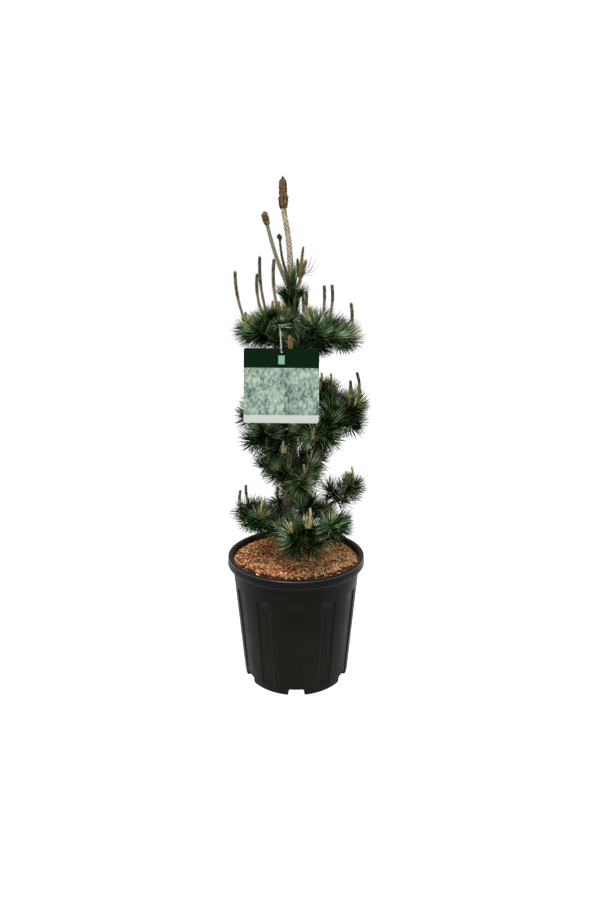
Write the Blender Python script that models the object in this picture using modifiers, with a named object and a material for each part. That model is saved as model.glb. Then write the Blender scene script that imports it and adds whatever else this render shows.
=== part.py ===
# Japanese white pine, grafted and trained in tiers, in its black nursery pot.
# Metres, +Z up. The origin is the centre of the pot's underside, and -Y is the plant's front.
import math
import random

import bmesh
import bpy
import numpy as np
from mathutils import Matrix, Vector

# Pot
POT_HEIGHT = 0.258
RIM_RADIUS = 0.141
RIM_DEPTH = 0.0165
COLLAR_RADIUS = 0.1325
BASE_RADIUS = 0.1105
WALL = 0.0022
POT_STEPS = 72
FLUTES = 12
FLUTE_DEPTH = 0.0026
FLUTE_FLOOR_DEG = 5.7
FLUTE_EDGE_DEG = 7.1
FLUTE_TOP = POT_HEIGHT - 0.058
FLUTE_LIP = 0.0030
FLUTE_FOOT = 0.030
FOOT_ROUND = 0.0035
NOTCHES = 6
NOTCH_WIDTH = 0.041
NOTCH_HEIGHT = 0.014
NOTCH_DEPTH = 0.026
NOTCH_WALL = 0.0020
NOTCH_NARROWING = 0.24
FRONT_DEG = -90.0

# Filling of the pot
SEAT_GAP = 0.0003
FILL_GAP = 0.0006
FILL_STEPS = 20
MULCH_DEPTH = 0.014
MULCH_TOP = POT_HEIGHT - 0.0098
MULCH_EDGE_DROP = 0.0022

# Trunk: height, lean along X and Y, radius
TRUNK = (
    (0.238, -0.005, 0.002, 0.0205),
    (0.258, -0.006, 0.002, 0.0130),
    (0.300, -0.014, 0.001, 0.0108),
    (0.350, -0.018, 0.000, 0.0092),
    (0.420, -0.012, 0.003, 0.0082),
    (0.500, -0.004, 0.002, 0.0075),
    (0.580, -0.002, 0.000, 0.0070),
    (0.660, -0.005, 0.000, 0.0063),
    (0.735, -0.0075, 0.000, 0.0055),
    (0.804, -0.0090, 0.000, 0.0049),
    (0.868, -0.0126, 0.000, 0.0043),
    (0.926, -0.0221, 0.000, 0.0037),
)
TRUNK_STEPS = 2

# Masses of foliage: bearing and reach of the centre from the pot's axis, its height, the radius and half
# height of the space, the height where the bough leaves the trunk, and the shoots besides those with a candle
MASSES = {
    "low_left": (193, 0.082, 0.338, 0.053, 0.044, 0.288, 4),
    "low_front": (-79, 0.080, 0.320, 0.055, 0.047, 0.276, 6),
    "low_front_left": (-129, 0.054, 0.334, 0.051, 0.044, 0.300, 7),
    "low_front_right": (-35, 0.077, 0.325, 0.047, 0.042, 0.288, 5),
    "low_inner_right": (-14, 0.040, 0.354, 0.045, 0.038, 0.343, 6),
    "low_right": (-10, 0.096, 0.394, 0.051, 0.041, 0.312, 5),
    "low_back_right": (35, 0.095, 0.312, 0.050, 0.040, 0.285, 5),
    "low_back": (95, 0.085, 0.340, 0.055, 0.045, 0.295, 6),
    "low_back_left": (144, 0.087, 0.314, 0.048, 0.040, 0.280, 5),
    "waist_front": (-82, 0.052, 0.434, 0.054, 0.052, 0.415, 5),
    "waist_left": (180, 0.045, 0.445, 0.040, 0.042, 0.428, 6),
    "waist_right": (5, 0.035, 0.457, 0.039, 0.041, 0.445, 6),
    "waist_back": (95, 0.058, 0.430, 0.050, 0.045, 0.410, 5),
    "mid_left": (180, 0.072, 0.551, 0.050, 0.060, 0.522, 7),
    "mid_front_left": (-122, 0.091, 0.518, 0.056, 0.048, 0.490, 7),
    "mid_front_right": (-62, 0.086, 0.530, 0.055, 0.048, 0.502, 7),
    "mid_right": (-10, 0.091, 0.551, 0.052, 0.070, 0.515, 6),
    "mid_back_right": (52, 0.085, 0.572, 0.055, 0.050, 0.540, 5),
    "mid_back_left": (125, 0.088, 0.558, 0.055, 0.047, 0.520, 5),
    "up_left": (180, 0.074, 0.704, 0.044, 0.032, 0.677, 3),
    "up_front_left": (-127, 0.074, 0.702, 0.052, 0.044, 0.670, 4),
    "up_front_right": (-63, 0.080, 0.696, 0.055, 0.044, 0.665, 5),
    "up_right": (-5, 0.078, 0.699, 0.048, 0.037, 0.676, 5),
    "up_back_right": (50, 0.068, 0.712, 0.051, 0.042, 0.686, 4),
    "up_back_left": (125, 0.075, 0.712, 0.052, 0.042, 0.680, 5),
}
TUFT = "top_tuft"
TUFT_CENTRE = (-0.008, 0.0, 0.775)
TUFT_RADIUS = 0.050

# Candles, the long bare new shoots: foot X, Y, Z, length, and how far the tip leans along X
CANDLES = (
    (-0.097, 0.000, 0.728, 0.090, -0.016),
    (-0.092, -0.033, 0.712, 0.030, 0.000),
    (-0.077, -0.043, 0.712, 0.025, 0.000),
    (-0.058, 0.026, 0.748, 0.100, -0.010),
    (-0.066, 0.010, 0.746, 0.068, -0.006),
    (-0.032, -0.043, 0.745, 0.089, -0.006),
    (-0.040, -0.062, 0.732, 0.028, 0.000),
    (-0.030, -0.064, 0.730, 0.029, 0.001),
    (-0.049, -0.060, 0.728, 0.022, -0.002),
    (-0.021, -0.062, 0.729, 0.024, 0.001),
    (0.015, -0.044, 0.730, 0.048, 0.004),
    (0.021, -0.068, 0.726, 0.022, 0.001),
    (0.040, -0.080, 0.700, 0.022, 0.001),
    (-0.010, -0.108, 0.674, 0.025, 0.000),
    (0.101, -0.020, 0.698, 0.061, 0.001),
    (0.087, -0.026, 0.700, 0.030, 0.001),
    (0.054, 0.034, 0.745, 0.050, 0.001),
    (0.0655, 0.008, 0.736, 0.058, 0.003),
    (0.014, 0.044, 0.745, 0.038, -0.001),
    (0.125, 0.000, 0.588, 0.042, -0.007),
    (0.100, -0.050, 0.575, 0.043, 0.001),
    (0.110, -0.050, 0.574, 0.028, 0.002),
    (0.052, 0.047, 0.598, 0.028, 0.000),
    (-0.023, -0.118, 0.498, 0.018, 0.001),
    (0.031, -0.112, 0.522, 0.016, 0.000),
    (0.0136, -0.082, 0.434, 0.032, 0.001),
    (0.022, -0.078, 0.436, 0.018, 0.001),
    (-0.111, -0.022, 0.364, 0.035, 0.001),
    (-0.097, 0.000, 0.366, 0.038, -0.004),
    (-0.068, -0.052, 0.352, 0.032, 0.003),
    (0.022, -0.100, 0.349, 0.038, 0.004),
    (-0.009, -0.100, 0.338, 0.020, 0.000),
    (0.112, -0.020, 0.414, 0.032, -0.002),
    (0.102, -0.024, 0.408, 0.030, -0.004),
)
CANDLE_RADIUS = 0.0030
LOOSE_CANDLE = (0.016, 0.036)

# Top shoots: foot height on the trunk, tip X, Y, Z of the stem, its radius, length and radius of the buds, and
# the share of its reach by which the stem first runs outwards before it turns up
TOP_SHOOTS = {
    "side_leader_left": (0.7770, -0.0510, -0.020, 0.8935, 0.0030, 0.0240, 0.0072, 0.16),
    "side_leader_back": (0.7900, -0.0300, 0.020, 0.8765, 0.0021, 0.0110, 0.0040, 0.34),
    "side_leader_right": (0.7830, 0.0085, -0.010, 0.8060, 0.0026, 0.0500, 0.0072, 0.62),
}
LEADER_BUD = (0.0560, 0.0085)

# Shoots and their sprays of needles
BOUGH_SHARE = 0.44
BOUGH_LEAST = 0.0030
BOUGH_TAPER = 0.75
BOUGH_SHORTEST = 0.020
BOUGH_STEPS = 3
ENTRY = 0.62
STEM_END = 0.10
SHOOT_OUT = 0.60
SHOOT_RADIUS = 0.0019
SHOOT_TIP_RADIUS = 0.0034
SPRAY_FROM = 0.42
FRINGE = 0.014
SPRAY_TILT = (64, 38)
SECTIONS = 3
NEEDLE = 0.040
NEEDLE_RADIUS = 0.0030
GOLDEN = math.radians(137.508)
CELL_MARGIN = 0.0016
LIMB_MARGIN = 0.0012
SEED = 31

# Hanging label and its tie
LABEL_WIDTH = 0.1265
LABEL_HEIGHT = 0.1245
LABEL_THICK = 0.0006
LABEL_CORNER = 0.004
LABEL_CENTRE = (-0.0238, -0.1400, 0.6158)
LABEL_TILT_DEG = 8.0
LABEL_ROLL_DEG = 0.55
LABEL_HOLE = 0.0030
LABEL_HOLE_DROP = 0.0060
LABEL_MASS = "up_front_left"
LABEL_SHOOT = (-0.0262, -0.1395, 0.7150)
TIE_RADIUS = 0.0007
TIE_NARROW = 0.0012
TIE_FOOT = 0.0026
TIE_FOOT_RISE = 0.0030
TIE_WIDE = 0.0056
TIE_STEPS = 12

COLOURS = {
    "pot_black": ((0.020, 0.021, 0.020), 0.48),
    "mulch_bark": ((0.330, 0.165, 0.085), 0.90),
    "potting_soil": ((0.045, 0.030, 0.022), 0.95),
    "bark": ((0.150, 0.105, 0.072), 0.88),
    "needles": ((0.028, 0.075, 0.036), 0.55),
    "buds": ((0.270, 0.180, 0.085), 0.70),
    "label_card": ((0.560, 0.680, 0.600), 0.35),
    "tie_white": ((0.750, 0.760, 0.740), 0.45),
}


def clear_scene():
    for item in list(bpy.data.objects):
        bpy.data.objects.remove(item)


def collection(name, hidden=False):
    made = bpy.data.collections.new(name)
    bpy.context.scene.collection.children.link(made)
    made.hide_render = hidden
    return made


def finish(name):
    """The material of that name, made once."""
    found = bpy.data.materials.get(name)
    if found:
        return found
    colour, roughness = COLOURS[name]
    made = bpy.data.materials.new(name)
    made.use_nodes = True
    shader = made.node_tree.nodes["Principled BSDF"]
    shader.inputs["Base Color"].default_value = (*colour, 1.0)
    shader.inputs["Roughness"].default_value = roughness
    shader.inputs["Metallic"].default_value = 0.0
    return made


def place(name, mesh, where, material=None):
    item = bpy.data.objects.new(name, mesh)
    where.objects.link(item)
    if material:
        mesh.materials.clear()
        mesh.materials.append(finish(material))
    return item


def as_mesh(item):
    """The evaluated mesh of an object, welded and in world space, and the object is removed."""
    bpy.context.view_layer.update()
    graph = bpy.context.evaluated_depsgraph_get()
    mesh = bpy.data.meshes.new_from_object(item.evaluated_get(graph))
    mesh.transform(item.matrix_world)
    bpy.data.objects.remove(item)
    work = bmesh.new()
    work.from_mesh(mesh)
    bmesh.ops.remove_doubles(work, verts=work.verts, dist=1e-6)
    bmesh.ops.recalc_face_normals(work, faces=work.faces)
    work.to_mesh(mesh)
    work.free()
    return mesh


def smooth(item, angle=40):
    item.data.shade_smooth()
    item.data.set_sharp_from_angle(angle=math.radians(angle))


def turned(name, profile, steps, where):
    """A profile of (radius, height) turned round Z."""
    mesh = bpy.data.meshes.new(name)
    points = [(r, 0.0, z) for r, z in profile]
    mesh.from_pydata(points, [(i, i + 1) for i in range(len(points) - 1)], [])
    item = place(name, mesh, where)
    spin = item.modifiers.new("spin", "SCREW")
    spin.steps = spin.render_steps = steps
    spin.use_merge_vertices = True
    spin.merge_threshold = 1e-5
    return item


def tapered(name, start, end, radius, end_radius, sides, where, turn=0.0):
    """A straight cone or prism between two points."""
    mesh = bpy.data.meshes.new(name)
    work = bmesh.new()
    axis = end - start
    aim = axis.to_track_quat("Z", "Y").to_matrix().to_4x4()
    matrix = Matrix.Translation((start + end) / 2) @ aim @ Matrix.Rotation(turn, 4, "Z")
    size = {"radius1": radius, "radius2": end_radius, "depth": axis.length}
    bmesh.ops.create_cone(work, cap_ends=True, segments=sides, matrix=matrix, **size)
    bmesh.ops.remove_doubles(work, verts=work.verts, dist=1e-7)
    work.to_mesh(mesh)
    work.free()
    return place(name, mesh, where)


def tube(name, points, radii, resolution, where, cyclic=False):
    """A curve with a round bevel that follows the points, each with its own radius."""
    data = bpy.data.curves.new(name, "CURVE")
    data.dimensions = "3D"
    data.bevel_depth = 1.0
    data.bevel_resolution = resolution
    data.use_fill_caps = True
    spline = data.splines.new("POLY")
    spline.points.add(len(points) - 1)
    for knot, point, radius in zip(spline.points, points, radii):
        knot.co = (*point, 1.0)
        knot.radius = radius
    spline.use_cyclic_u = cyclic
    item = bpy.data.objects.new(name, data)
    where.objects.link(item)
    return item


def sweep(path, radii, sides, twist):
    """A tube of a few sides as a bmesh, and for each section its middle, the way it points and its faces."""
    work = bmesh.new()
    heading = [(b - a).normalized() for a, b in zip(path, path[1:])]
    ways = [heading[0]] + [(a + b).normalized() for a, b in zip(heading, heading[1:])] + [heading[-1]]
    side = ways[0].orthogonal().normalized()
    frames = []
    for i, (centre, way, radius) in enumerate(zip(path, ways, radii)):
        side = (side - way * side.dot(way)).normalized()
        basis = Matrix((side, way.cross(side), way)).transposed().to_4x4()
        turn = Matrix.Rotation(twist * i, 4, "Z") @ Matrix.Scale(radius, 4)
        frames.append(Matrix.Translation(centre) @ basis @ turn)
    ring = bmesh.ops.create_circle(work, cap_ends=True, segments=sides, radius=1.0, matrix=frames[0])["verts"]
    edges = list(work.edges)
    sections = []
    for i in range(len(path) - 1):
        made = bmesh.ops.extrude_edge_only(work, edges=edges)["geom"]
        ring = [part for part in made if isinstance(part, bmesh.types.BMVert)]
        bmesh.ops.transform(work, matrix=frames[i + 1] @ frames[i].inverted(), verts=ring)
        edges = [part for part in made if isinstance(part, bmesh.types.BMEdge)]
        edges = [edge for edge in edges if all(v in ring for v in edge.verts)]
        faces = [part for part in made if isinstance(part, bmesh.types.BMFace)]
        sections.append((path[i].lerp(path[i + 1], 0.5), heading[i], faces))
    bmesh.ops.contextual_create(work, geom=edges)
    bmesh.ops.recalc_face_normals(work, faces=work.faces)
    return work, sections


def boolean(item, operation, other=None, group=None, solver="EXACT"):
    change = item.modifiers.new(operation.lower(), "BOOLEAN")
    change.operation = operation
    change.solver = solver
    if group:
        change.operand_type = "COLLECTION"
        change.collection = group
    else:
        change.object = other
    return change


def cut_level(mesh):
    """Cuts the trunk off flat, just above the mulch."""
    work = bmesh.new()
    work.from_mesh(mesh)
    whole = list(work.verts) + list(work.edges) + list(work.faces)
    plane = {"plane_co": (0, 0, MULCH_TOP + SEAT_GAP), "plane_no": (0, 0, 1)}
    cut = bmesh.ops.bisect_plane(work, geom=whole, clear_inner=True, **plane)["geom_cut"]
    bmesh.ops.contextual_create(work, geom=[part for part in cut if isinstance(part, bmesh.types.BMEdge)])
    bmesh.ops.recalc_face_normals(work, faces=work.faces)
    work.to_mesh(mesh)
    work.free()
    return mesh


def bearing(degrees):
    return Vector((math.cos(math.radians(degrees)), math.sin(math.radians(degrees)), 0.0))


def trunk_line():
    """The trunk's centre line and radii: a Catmull-Rom curve through its stations."""
    rows = [Vector((x, y, z, r)) for z, x, y, r in TRUNK]
    line = []
    for i in range(len(rows) - 1):
        before, a, b, after = rows[max(i - 1, 0)], rows[i], rows[i + 1], rows[min(i + 2, len(rows) - 1)]
        for step in range(TRUNK_STEPS):
            t = step / TRUNK_STEPS
            line.append(
                0.5 * (2 * a + (b - before) * t + (2 * before - 5 * a + 4 * b - after) * t * t
                       + (3 * a - before - 3 * b + after) * t**3)
            )
    line.append(rows[-1])
    return [Vector(row[:3]) for row in line], [row[3] for row in line]


def trunk_at(height):
    """The trunk's centre and radius at a height."""
    points, radii = trunk_line()
    for a, b, ra, rb in zip(points, points[1:], radii, radii[1:]):
        if a.z <= height <= b.z:
            t = (height - a.z) / (b.z - a.z)
            return a.lerp(b, t), ra + (rb - ra) * t
    return points[-1], radii[-1]


def bend(start, middle, end, steps):
    """Points of a quadratic curve."""
    shares = [i / steps for i in range(steps + 1)]
    return [start.lerp(middle, t).lerp(middle.lerp(end, t), t) for t in shares]


class Space:
    """The space of one mass: an ellipsoid, cut off where another mass's space is nearer."""

    all = {}

    def __init__(self, name, centre, radius, half_height, foot=None, shoots=0):
        self.name, self.centre, self.radius, self.half = name, centre, radius, half_height
        self.foot, self.shoots = foot, shoots
        Space.all[name] = self

    def power(self, point):
        return (point - self.centre).length_squared - self.radius**2

    def in_cell(self, point, margin=CELL_MARGIN):
        mine = self.power(point)
        return all(
            other.power(point) - mine > 2 * margin * (other.centre - self.centre).length
            for other in Space.all.values()
            if other is not self
        )

    def holds(self, point):
        offset = point - self.centre
        flat = math.hypot(offset.x, offset.y) / (self.radius + FRINGE)
        return flat**2 + (offset.z / (self.half + FRINGE)) ** 2 < 1.0 and self.in_cell(point)


class Limbs:
    """The straight stretches of every limb, which sprays keep clear of."""

    def __init__(self):
        self.rows = []

    def add(self, points, radii, owner):
        for a, b, ra, rb in zip(points, points[1:], radii, radii[1:]):
            self.rows.append((*a, *b, max(ra, rb), owner))

    def clear(self, start, end, radius, owner):
        rows = [row[:7] for row in self.rows if row[7] != owner]
        table = np.array(rows)
        a, b, thick = table[:, :3], table[:, 3:6], table[:, 6]
        along = b - a
        for share in np.linspace(0.0, 1.0, 7):
            point = np.array(start.lerp(end, float(share)))
            t = np.clip(((point - a) * along).sum(1) / (along**2).sum(1), 0, 1)
            near = np.linalg.norm(point - a - along * t[:, None], axis=1)
            if (near < thick + radius + LIMB_MARGIN).any():
                return False
        return True


def centre_of(name):
    degrees, reach, height = MASSES[name][:3]
    return bearing(degrees) * reach + Vector((0.0, 0.0, height))


def plan_spaces():
    for name, (_, _, _, radius, half, foot, shoots) in MASSES.items():
        Space(name, centre_of(name), radius, half, foot, shoots)
    Space(TUFT, Vector(TUFT_CENTRE), TUFT_RADIUS, TUFT_RADIUS)


def plan_bough(space):
    """Centre line and radii of the bough, from the trunk's middle to where it enters the mass."""
    root, trunk_radius = trunk_at(space.foot)
    flat = Vector((space.centre.x - root.x, space.centre.y - root.y, 0.0))
    middle = root + flat * 0.5 + Vector((0.0, 0.0, (space.centre.z - root.z) * 0.22))
    tip = space.centre - (space.centre - middle).normalized() * space.radius * ENTRY
    radius = max(trunk_radius * BOUGH_SHARE, BOUGH_LEAST)
    points = bend(root, middle, tip, BOUGH_STEPS)
    radii = [radius * (1 - (1 - BOUGH_TAPER) * i / BOUGH_STEPS) for i in range(BOUGH_STEPS + 1)]
    heading = (points[-1] - points[-2]).normalized()
    long_enough = (tip - root).length - trunk_radius > BOUGH_SHORTEST
    return points, radii, heading, long_enough


def shoots_of(space, foot, end, candles):
    """Start and tip of each shoot, its candle's lean and length, and whether the candle is a given one."""
    chance = random.Random(SEED + sum(map(ord, space.name)))
    phase = chance.uniform(0, 2 * math.pi)
    shoots = [(tip, lean, length, True) for tip, lean, length in candles if space.in_cell(tip)]
    for k in range(space.shoots):
        rise = -0.70 + 1.40 * (k + 0.5) / space.shoots
        out = math.sqrt(max(0.1, 1 - rise * rise)) * SHOOT_OUT * space.radius
        turn = phase + GOLDEN * k
        tip = space.centre + Vector((math.cos(turn) * out, math.sin(turn) * out, rise * space.half * 0.72))
        length = chance.uniform(*LOOSE_CANDLE)
        shoots.append((tip, 0.0, length if rise > 0.1 and space.centre.y > 0 else 0.0, False))
    along = (end - foot).normalized()
    for tip, lean, length, given in shoots:
        share = (tip - foot).dot(along) / (end - foot).length - 0.55 + chance.uniform(-0.06, 0.06)
        yield foot.lerp(end, min(0.96, max(0.20, share))), tip, lean, length, given


def shoot_path(start, middle, tip):
    shares = [0.0] + [SPRAY_FROM + (1 - SPRAY_FROM) * i / SECTIONS for i in range(SECTIONS + 1)]
    return [start.lerp(middle, t).lerp(middle.lerp(tip, t), t) for t in shares]


def fits(space, path, limbs):
    """Whether the outer part of a shoot stays in its mass's space and clear of the limbs."""
    rows = zip(path[1:], path[2:])
    return all(space.in_cell(b) and limbs.clear(a, b, SHOOT_TIP_RADIUS, space.name) for a, b in rows)


def grow_shoot(space, path, top, limbs, taken, chance, where, name, sides=3):
    """A twig with a spike drawn out of its faces for each spray, and a bare candle at its end."""
    tip = path[-1]
    shares = [SHOOT_RADIUS / SHOOT_TIP_RADIUS] * 2 + [1.0] * (SECTIONS - 1) + [0.7]
    radii = [SHOOT_TIP_RADIUS * share for share in shares]
    if top:
        up = (top - tip).normalized()
        path += [tip + up * 0.003, top]
        radii += [CANDLE_RADIUS * 0.95, CANDLE_RADIUS]
    work, sections = sweep(path, radii, sides, math.radians(37))
    for i in range(1, SECTIONS + 1):
        centre, way, faces = sections[i]
        tilt = math.radians(SPRAY_TILT[0] + (SPRAY_TILT[1] - SPRAY_TILT[0]) * (i - 0.5) / SECTIONS)
        for face in faces:
            at = face.calc_center_median()
            around = at - centre
            around = (around - way * around.dot(way)).normalized()
            out = way * math.cos(tilt) + around * math.sin(tilt)
            end = at + out * NEEDLE * chance.uniform(0.85, 1.06)
            free = limbs.clear(at, end, NEEDLE_RADIUS, space.name)
            if free and space.holds(end) and taken.clear(at.lerp(end, 0.3), end, 0.0004, name):
                bmesh.ops.poke(work, faces=[face])["verts"][0].co = end
                taken.add([at, end], [0.0012, 0.0004], name)
    mesh = bpy.data.meshes.new(name)
    bmesh.ops.triangulate(work, faces=work.faces)
    work.to_mesh(mesh)
    work.free()
    place(name, mesh, where)


def united(name, base, parts, where, material, cutter=None):
    """One solid from a base and the collection of parts fused to it, cut clear of the trunk."""
    item = fused(name, base, "UNION", parts, where)
    if cutter:
        boolean(item, "DIFFERENCE", other=cutter)
        item = place(name, as_mesh(item), where)
    item.name = item.data.name = name
    item.data.materials.append(finish(material))
    return item


def grow_mass(space, entry, heading, candles, limbs, plant, cutter=None):
    """A stem, its shoots, their cores, sprays and candles, fused into one solid."""
    chance = random.Random(SEED)
    parts = collection(f"{space.name}_parts")
    taken = Limbs()
    taken.add([entry, entry + heading], [0.0, 0.0], "none")
    foot = entry + heading * SEAT_GAP
    end = foot + heading * ((space.centre - foot).length + space.radius * STEM_END)
    base = tapered(f"{space.name}_stem", foot, end, 0.0030, 0.0024, 5, plant)
    for n, (start, tip, lean, length, given) in enumerate(shoots_of(space, foot, end, candles)):
        top = tip + Vector((lean, 0.0, length))
        bare = length and (given or (space.in_cell(top) and limbs.clear(tip, top, CANDLE_RADIUS, space.name)))
        path = shoot_path(start, start.lerp(tip, 0.55) - Vector((0.0, 0.0, (tip - start).length * 0.10)), tip)
        if fits(space, path, limbs):
            grow_shoot(space, path, top if bare else None, limbs, taken, chance, parts, f"{space.name}_{n}")
    if space.name == LABEL_MASS:
        path = label_shoot_path(foot.lerp(end, 0.9))
        grow_shoot(space, path, None, limbs, taken, chance, parts, "label_shoot", 6)
    return united(f"foliage_{space.name}", base, parts, plant, "needles", cutter)


def grow_tuft(limbs, plant, cutter):
    """The sleeve of needles round the neck of the trunk, below the leader."""
    chance = random.Random(SEED)
    space = Space.all[TUFT]
    parts = collection("tuft_parts")
    low, high = Vector((-0.0076, 0, 0.732)), Vector((-0.0084, 0, 0.776))
    base = tapered("tuft_sleeve", low, high, 0.0098, 0.0086, 8, plant)
    count = 24
    for k in range(count):
        share = (k + 0.5) / count
        turn = GOLDEN * k + 0.4
        around = Vector((math.cos(turn), math.sin(turn), 0.0))
        at = low.lerp(high, 0.04 + 0.92 * share) + around * 0.0074
        tilt = math.radians(22 + 38 * share)
        out = around * math.sin(tilt) + Vector((0, 0, math.cos(tilt)))
        end = at + out * NEEDLE * (0.80 + 0.30 * share)
        if not limbs.clear(at + out * 0.009, end, NEEDLE_RADIUS, TUFT):
            continue
        if space.in_cell(end):
            tapered(f"tuft_{k}", at - out * 0.0008, end, 0.0026, 0.0, 3, parts, chance.uniform(0, 2))
    return united(f"foliage_{TUFT}", base, parts, plant, "needles", cutter)


def bud_cluster(name, foot, heading, length, radius, where):
    """A long middle bud with shorter ones pressed round its foot."""
    low = foot - heading * 0.001
    tapered(f"{name}_low", low, foot + heading * length * 0.36, radius * 0.60, radius, 5, where)
    tip = foot + heading * length
    tapered(f"{name}_high", foot + heading * length * 0.34, tip, radius, radius * 0.55, 5, where, 0.5)
    side = heading.orthogonal().normalized()
    for k in range(3):
        around = Matrix.Rotation(k * math.pi / 1.5 + 0.5, 3, heading) @ side
        start = foot + heading * length * 0.05 + around * radius * 0.30
        end = foot + heading * length * (0.40 + 0.05 * k) + around * radius * 1.15
        tapered(f"{name}_side{k}", start, end, radius * 0.50, radius * 0.16, 4, where)


def top_shoot_line(name):
    height, x, y, z, radius, _, _, outwards = TOP_SHOOTS[name]
    root, _ = trunk_at(height)
    tip = Vector((x, y, z))
    middle = root.lerp(tip, 0.45) + Vector(((x - root.x) * outwards, (y - root.y) * outwards, -0.004))
    points = bend(root, middle, tip, 3)
    return points, [radius * (1.12 - 0.08 * i) for i in range(4)]


def grow_top_shoot(name, plant, cutter):
    points, radii = top_shoot_line(name)
    length, radius = TOP_SHOOTS[name][5:7]
    parts = collection(f"{name}_parts")
    bud_cluster(name, points[-1], (points[-1] - points[-2]).normalized(), length, radius, parts)
    stem = place(f"{name}_stem", as_mesh(tube(f"{name}_line", points, radii, 1, plant)), plant)
    return united(name, stem, parts, plant, "buds", cutter)


def grow_leader_bud(plant):
    points, radii = trunk_line()
    heading = (points[-1] - points[-2]).normalized()
    foot = points[-1] + heading * SEAT_GAP
    parts = collection("leader_parts")
    bud_cluster("leader", foot + heading * 0.002, Vector((-0.02, 0.0, 1.0)).normalized(), *LEADER_BUD, parts)
    base = tapered("leader_foot", foot, foot + heading * 0.006, radii[-1], radii[-1] * 1.1, 8, plant)
    return united("leader_bud", base, parts, plant, "buds")


def pot_profile():
    """Underside, wall and folded rim as the sheet's outer side, from the middle of the base outwards."""
    slope = (COLLAR_RADIUS - BASE_RADIUS) / (POT_HEIGHT - FOOT_ROUND)

    def wall(z):
        return (BASE_RADIUS + slope * (z - FOOT_ROUND), z)

    under = POT_HEIGHT - WALL
    skirt = RIM_RADIUS - WALL
    return [
        (0.0, 0.0),
        (BASE_RADIUS - FOOT_ROUND, 0.0),
        (BASE_RADIUS, FOOT_ROUND),
        wall(FLUTE_FOOT),
        wall(FLUTE_TOP),
        wall(FLUTE_TOP + FLUTE_LIP),
        wall(under),
        (skirt - 0.001, under),
        (skirt + 0.0004, POT_HEIGHT - RIM_DEPTH),
    ]


def press_flutes(mesh):
    """Moves the wall's columns into twelve flutes with a flat floor and steep sides, between plain ribs."""
    pitch = 360.0 / FLUTES
    column = 360.0 / POT_STEPS
    for vertex in mesh.vertices:
        x, y, z = vertex.co
        radius = math.hypot(x, y)
        if not (FOOT_ROUND + 1e-4 < z < FLUTE_TOP + FLUTE_LIP + 1e-4) or radius < BASE_RADIUS - 0.002:
            continue
        degrees = math.degrees(math.atan2(y, x)) - FRONT_DEG
        flute = round(degrees / pitch)
        offset = round((degrees - flute * pitch) / column)
        if abs(offset) == 3:
            continue
        moved = {0: 0.0, 1: FLUTE_FLOOR_DEG, 2: FLUTE_EDGE_DEG}[abs(offset)] * (1 if offset > 0 else -1)
        sunk = abs(offset) < 2 and FLUTE_FOOT - 1e-4 < z < FLUTE_TOP + 1e-4
        radius -= FLUTE_DEPTH if sunk else 0.0
        turn = math.radians(FRONT_DEG + flute * pitch + moved)
        vertex.co = (math.cos(turn) * radius, math.sin(turn) * radius, z)


def notch_boxes(name, grow, low, outer, where):
    """The six drain notches as boxes that narrow upwards, grown by a margin, under every other flute."""
    inner, top = BASE_RADIUS - NOTCH_DEPTH - grow, NOTCH_HEIGHT + grow
    for k in range(NOTCHES):
        work = bmesh.new()
        middle = Matrix.Translation(((outer + inner) / 2, 0, (top + low) / 2))
        size = Matrix.Diagonal((outer - inner, 1, top - low, 1))
        bmesh.ops.create_cube(work, size=1.0, matrix=middle @ size)
        for vertex in work.verts:
            half = NOTCH_WIDTH / 2 * (1 - NOTCH_NARROWING * vertex.co.z / NOTCH_HEIGHT) + grow
            vertex.co.y = math.copysign(half, vertex.co.y)
        turn = Matrix.Rotation(math.radians(FRONT_DEG + 360.0 / NOTCHES * k), 4, "Z")
        bmesh.ops.transform(work, matrix=turn, verts=work.verts)
        mesh = bpy.data.meshes.new(f"{name}_{k}")
        work.to_mesh(mesh)
        work.free()
        box = place(f"{name}_{k}", mesh, where)
        box.hide_render = True
        box.display_type = "WIRE"


def fused(name, base, operation, group, where):
    """The base after one Boolean with a collection, which is then removed."""
    boolean(base, operation, group=group)
    mesh = as_mesh(base)
    for item in list(group.objects):
        bpy.data.objects.remove(item)
    bpy.data.collections.remove(group)
    return place(name, mesh, where)


def make_pot(plant):
    """A moulded shell of one thickness: fluted wall, folded rim, and a flat base with six drain notches."""
    sheet = turned("pot_sheet", pot_profile(), POT_STEPS, plant)
    mesh = as_mesh(sheet)
    press_flutes(mesh)
    shell = place("pot_shell", mesh, plant)
    thick = shell.modifiers.new("thickness", "SOLIDIFY")
    thick.thickness = WALL
    thick.offset = 1.0 if mesh.polygons[0].normal.z > 0 else -1.0
    thick.use_even_offset = True
    pot = place("pot_solid", as_mesh(shell), plant)
    pockets = collection("pockets")
    notch_boxes("pocket", NOTCH_WALL, WALL * 0.2, BASE_RADIUS - WALL * 0.6, pockets)
    pot = fused("pot_pocketed", pot, "UNION", pockets, plant)
    notches = collection("notches", hidden=True)
    notch_boxes("notch", 0.0, -0.002, BASE_RADIUS + 0.006, notches)
    pot = fused("pot", pot, "DIFFERENCE", notches, plant)
    pot.data.materials.append(finish("pot_black"))
    smooth(pot, 35)


def inner_radius(z, under_flutes):
    """The wall's inner side at a height, at the ribs or at the flutes."""
    slope = (COLLAR_RADIUS - BASE_RADIUS) / (POT_HEIGHT - FOOT_ROUND)
    lost = WALL * 1.02 + (FLUTE_DEPTH if under_flutes else 0.0) + FILL_GAP
    return (BASE_RADIUS + slope * (z - FOOT_ROUND) - lost) * math.cos(math.pi / POT_STEPS)


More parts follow.
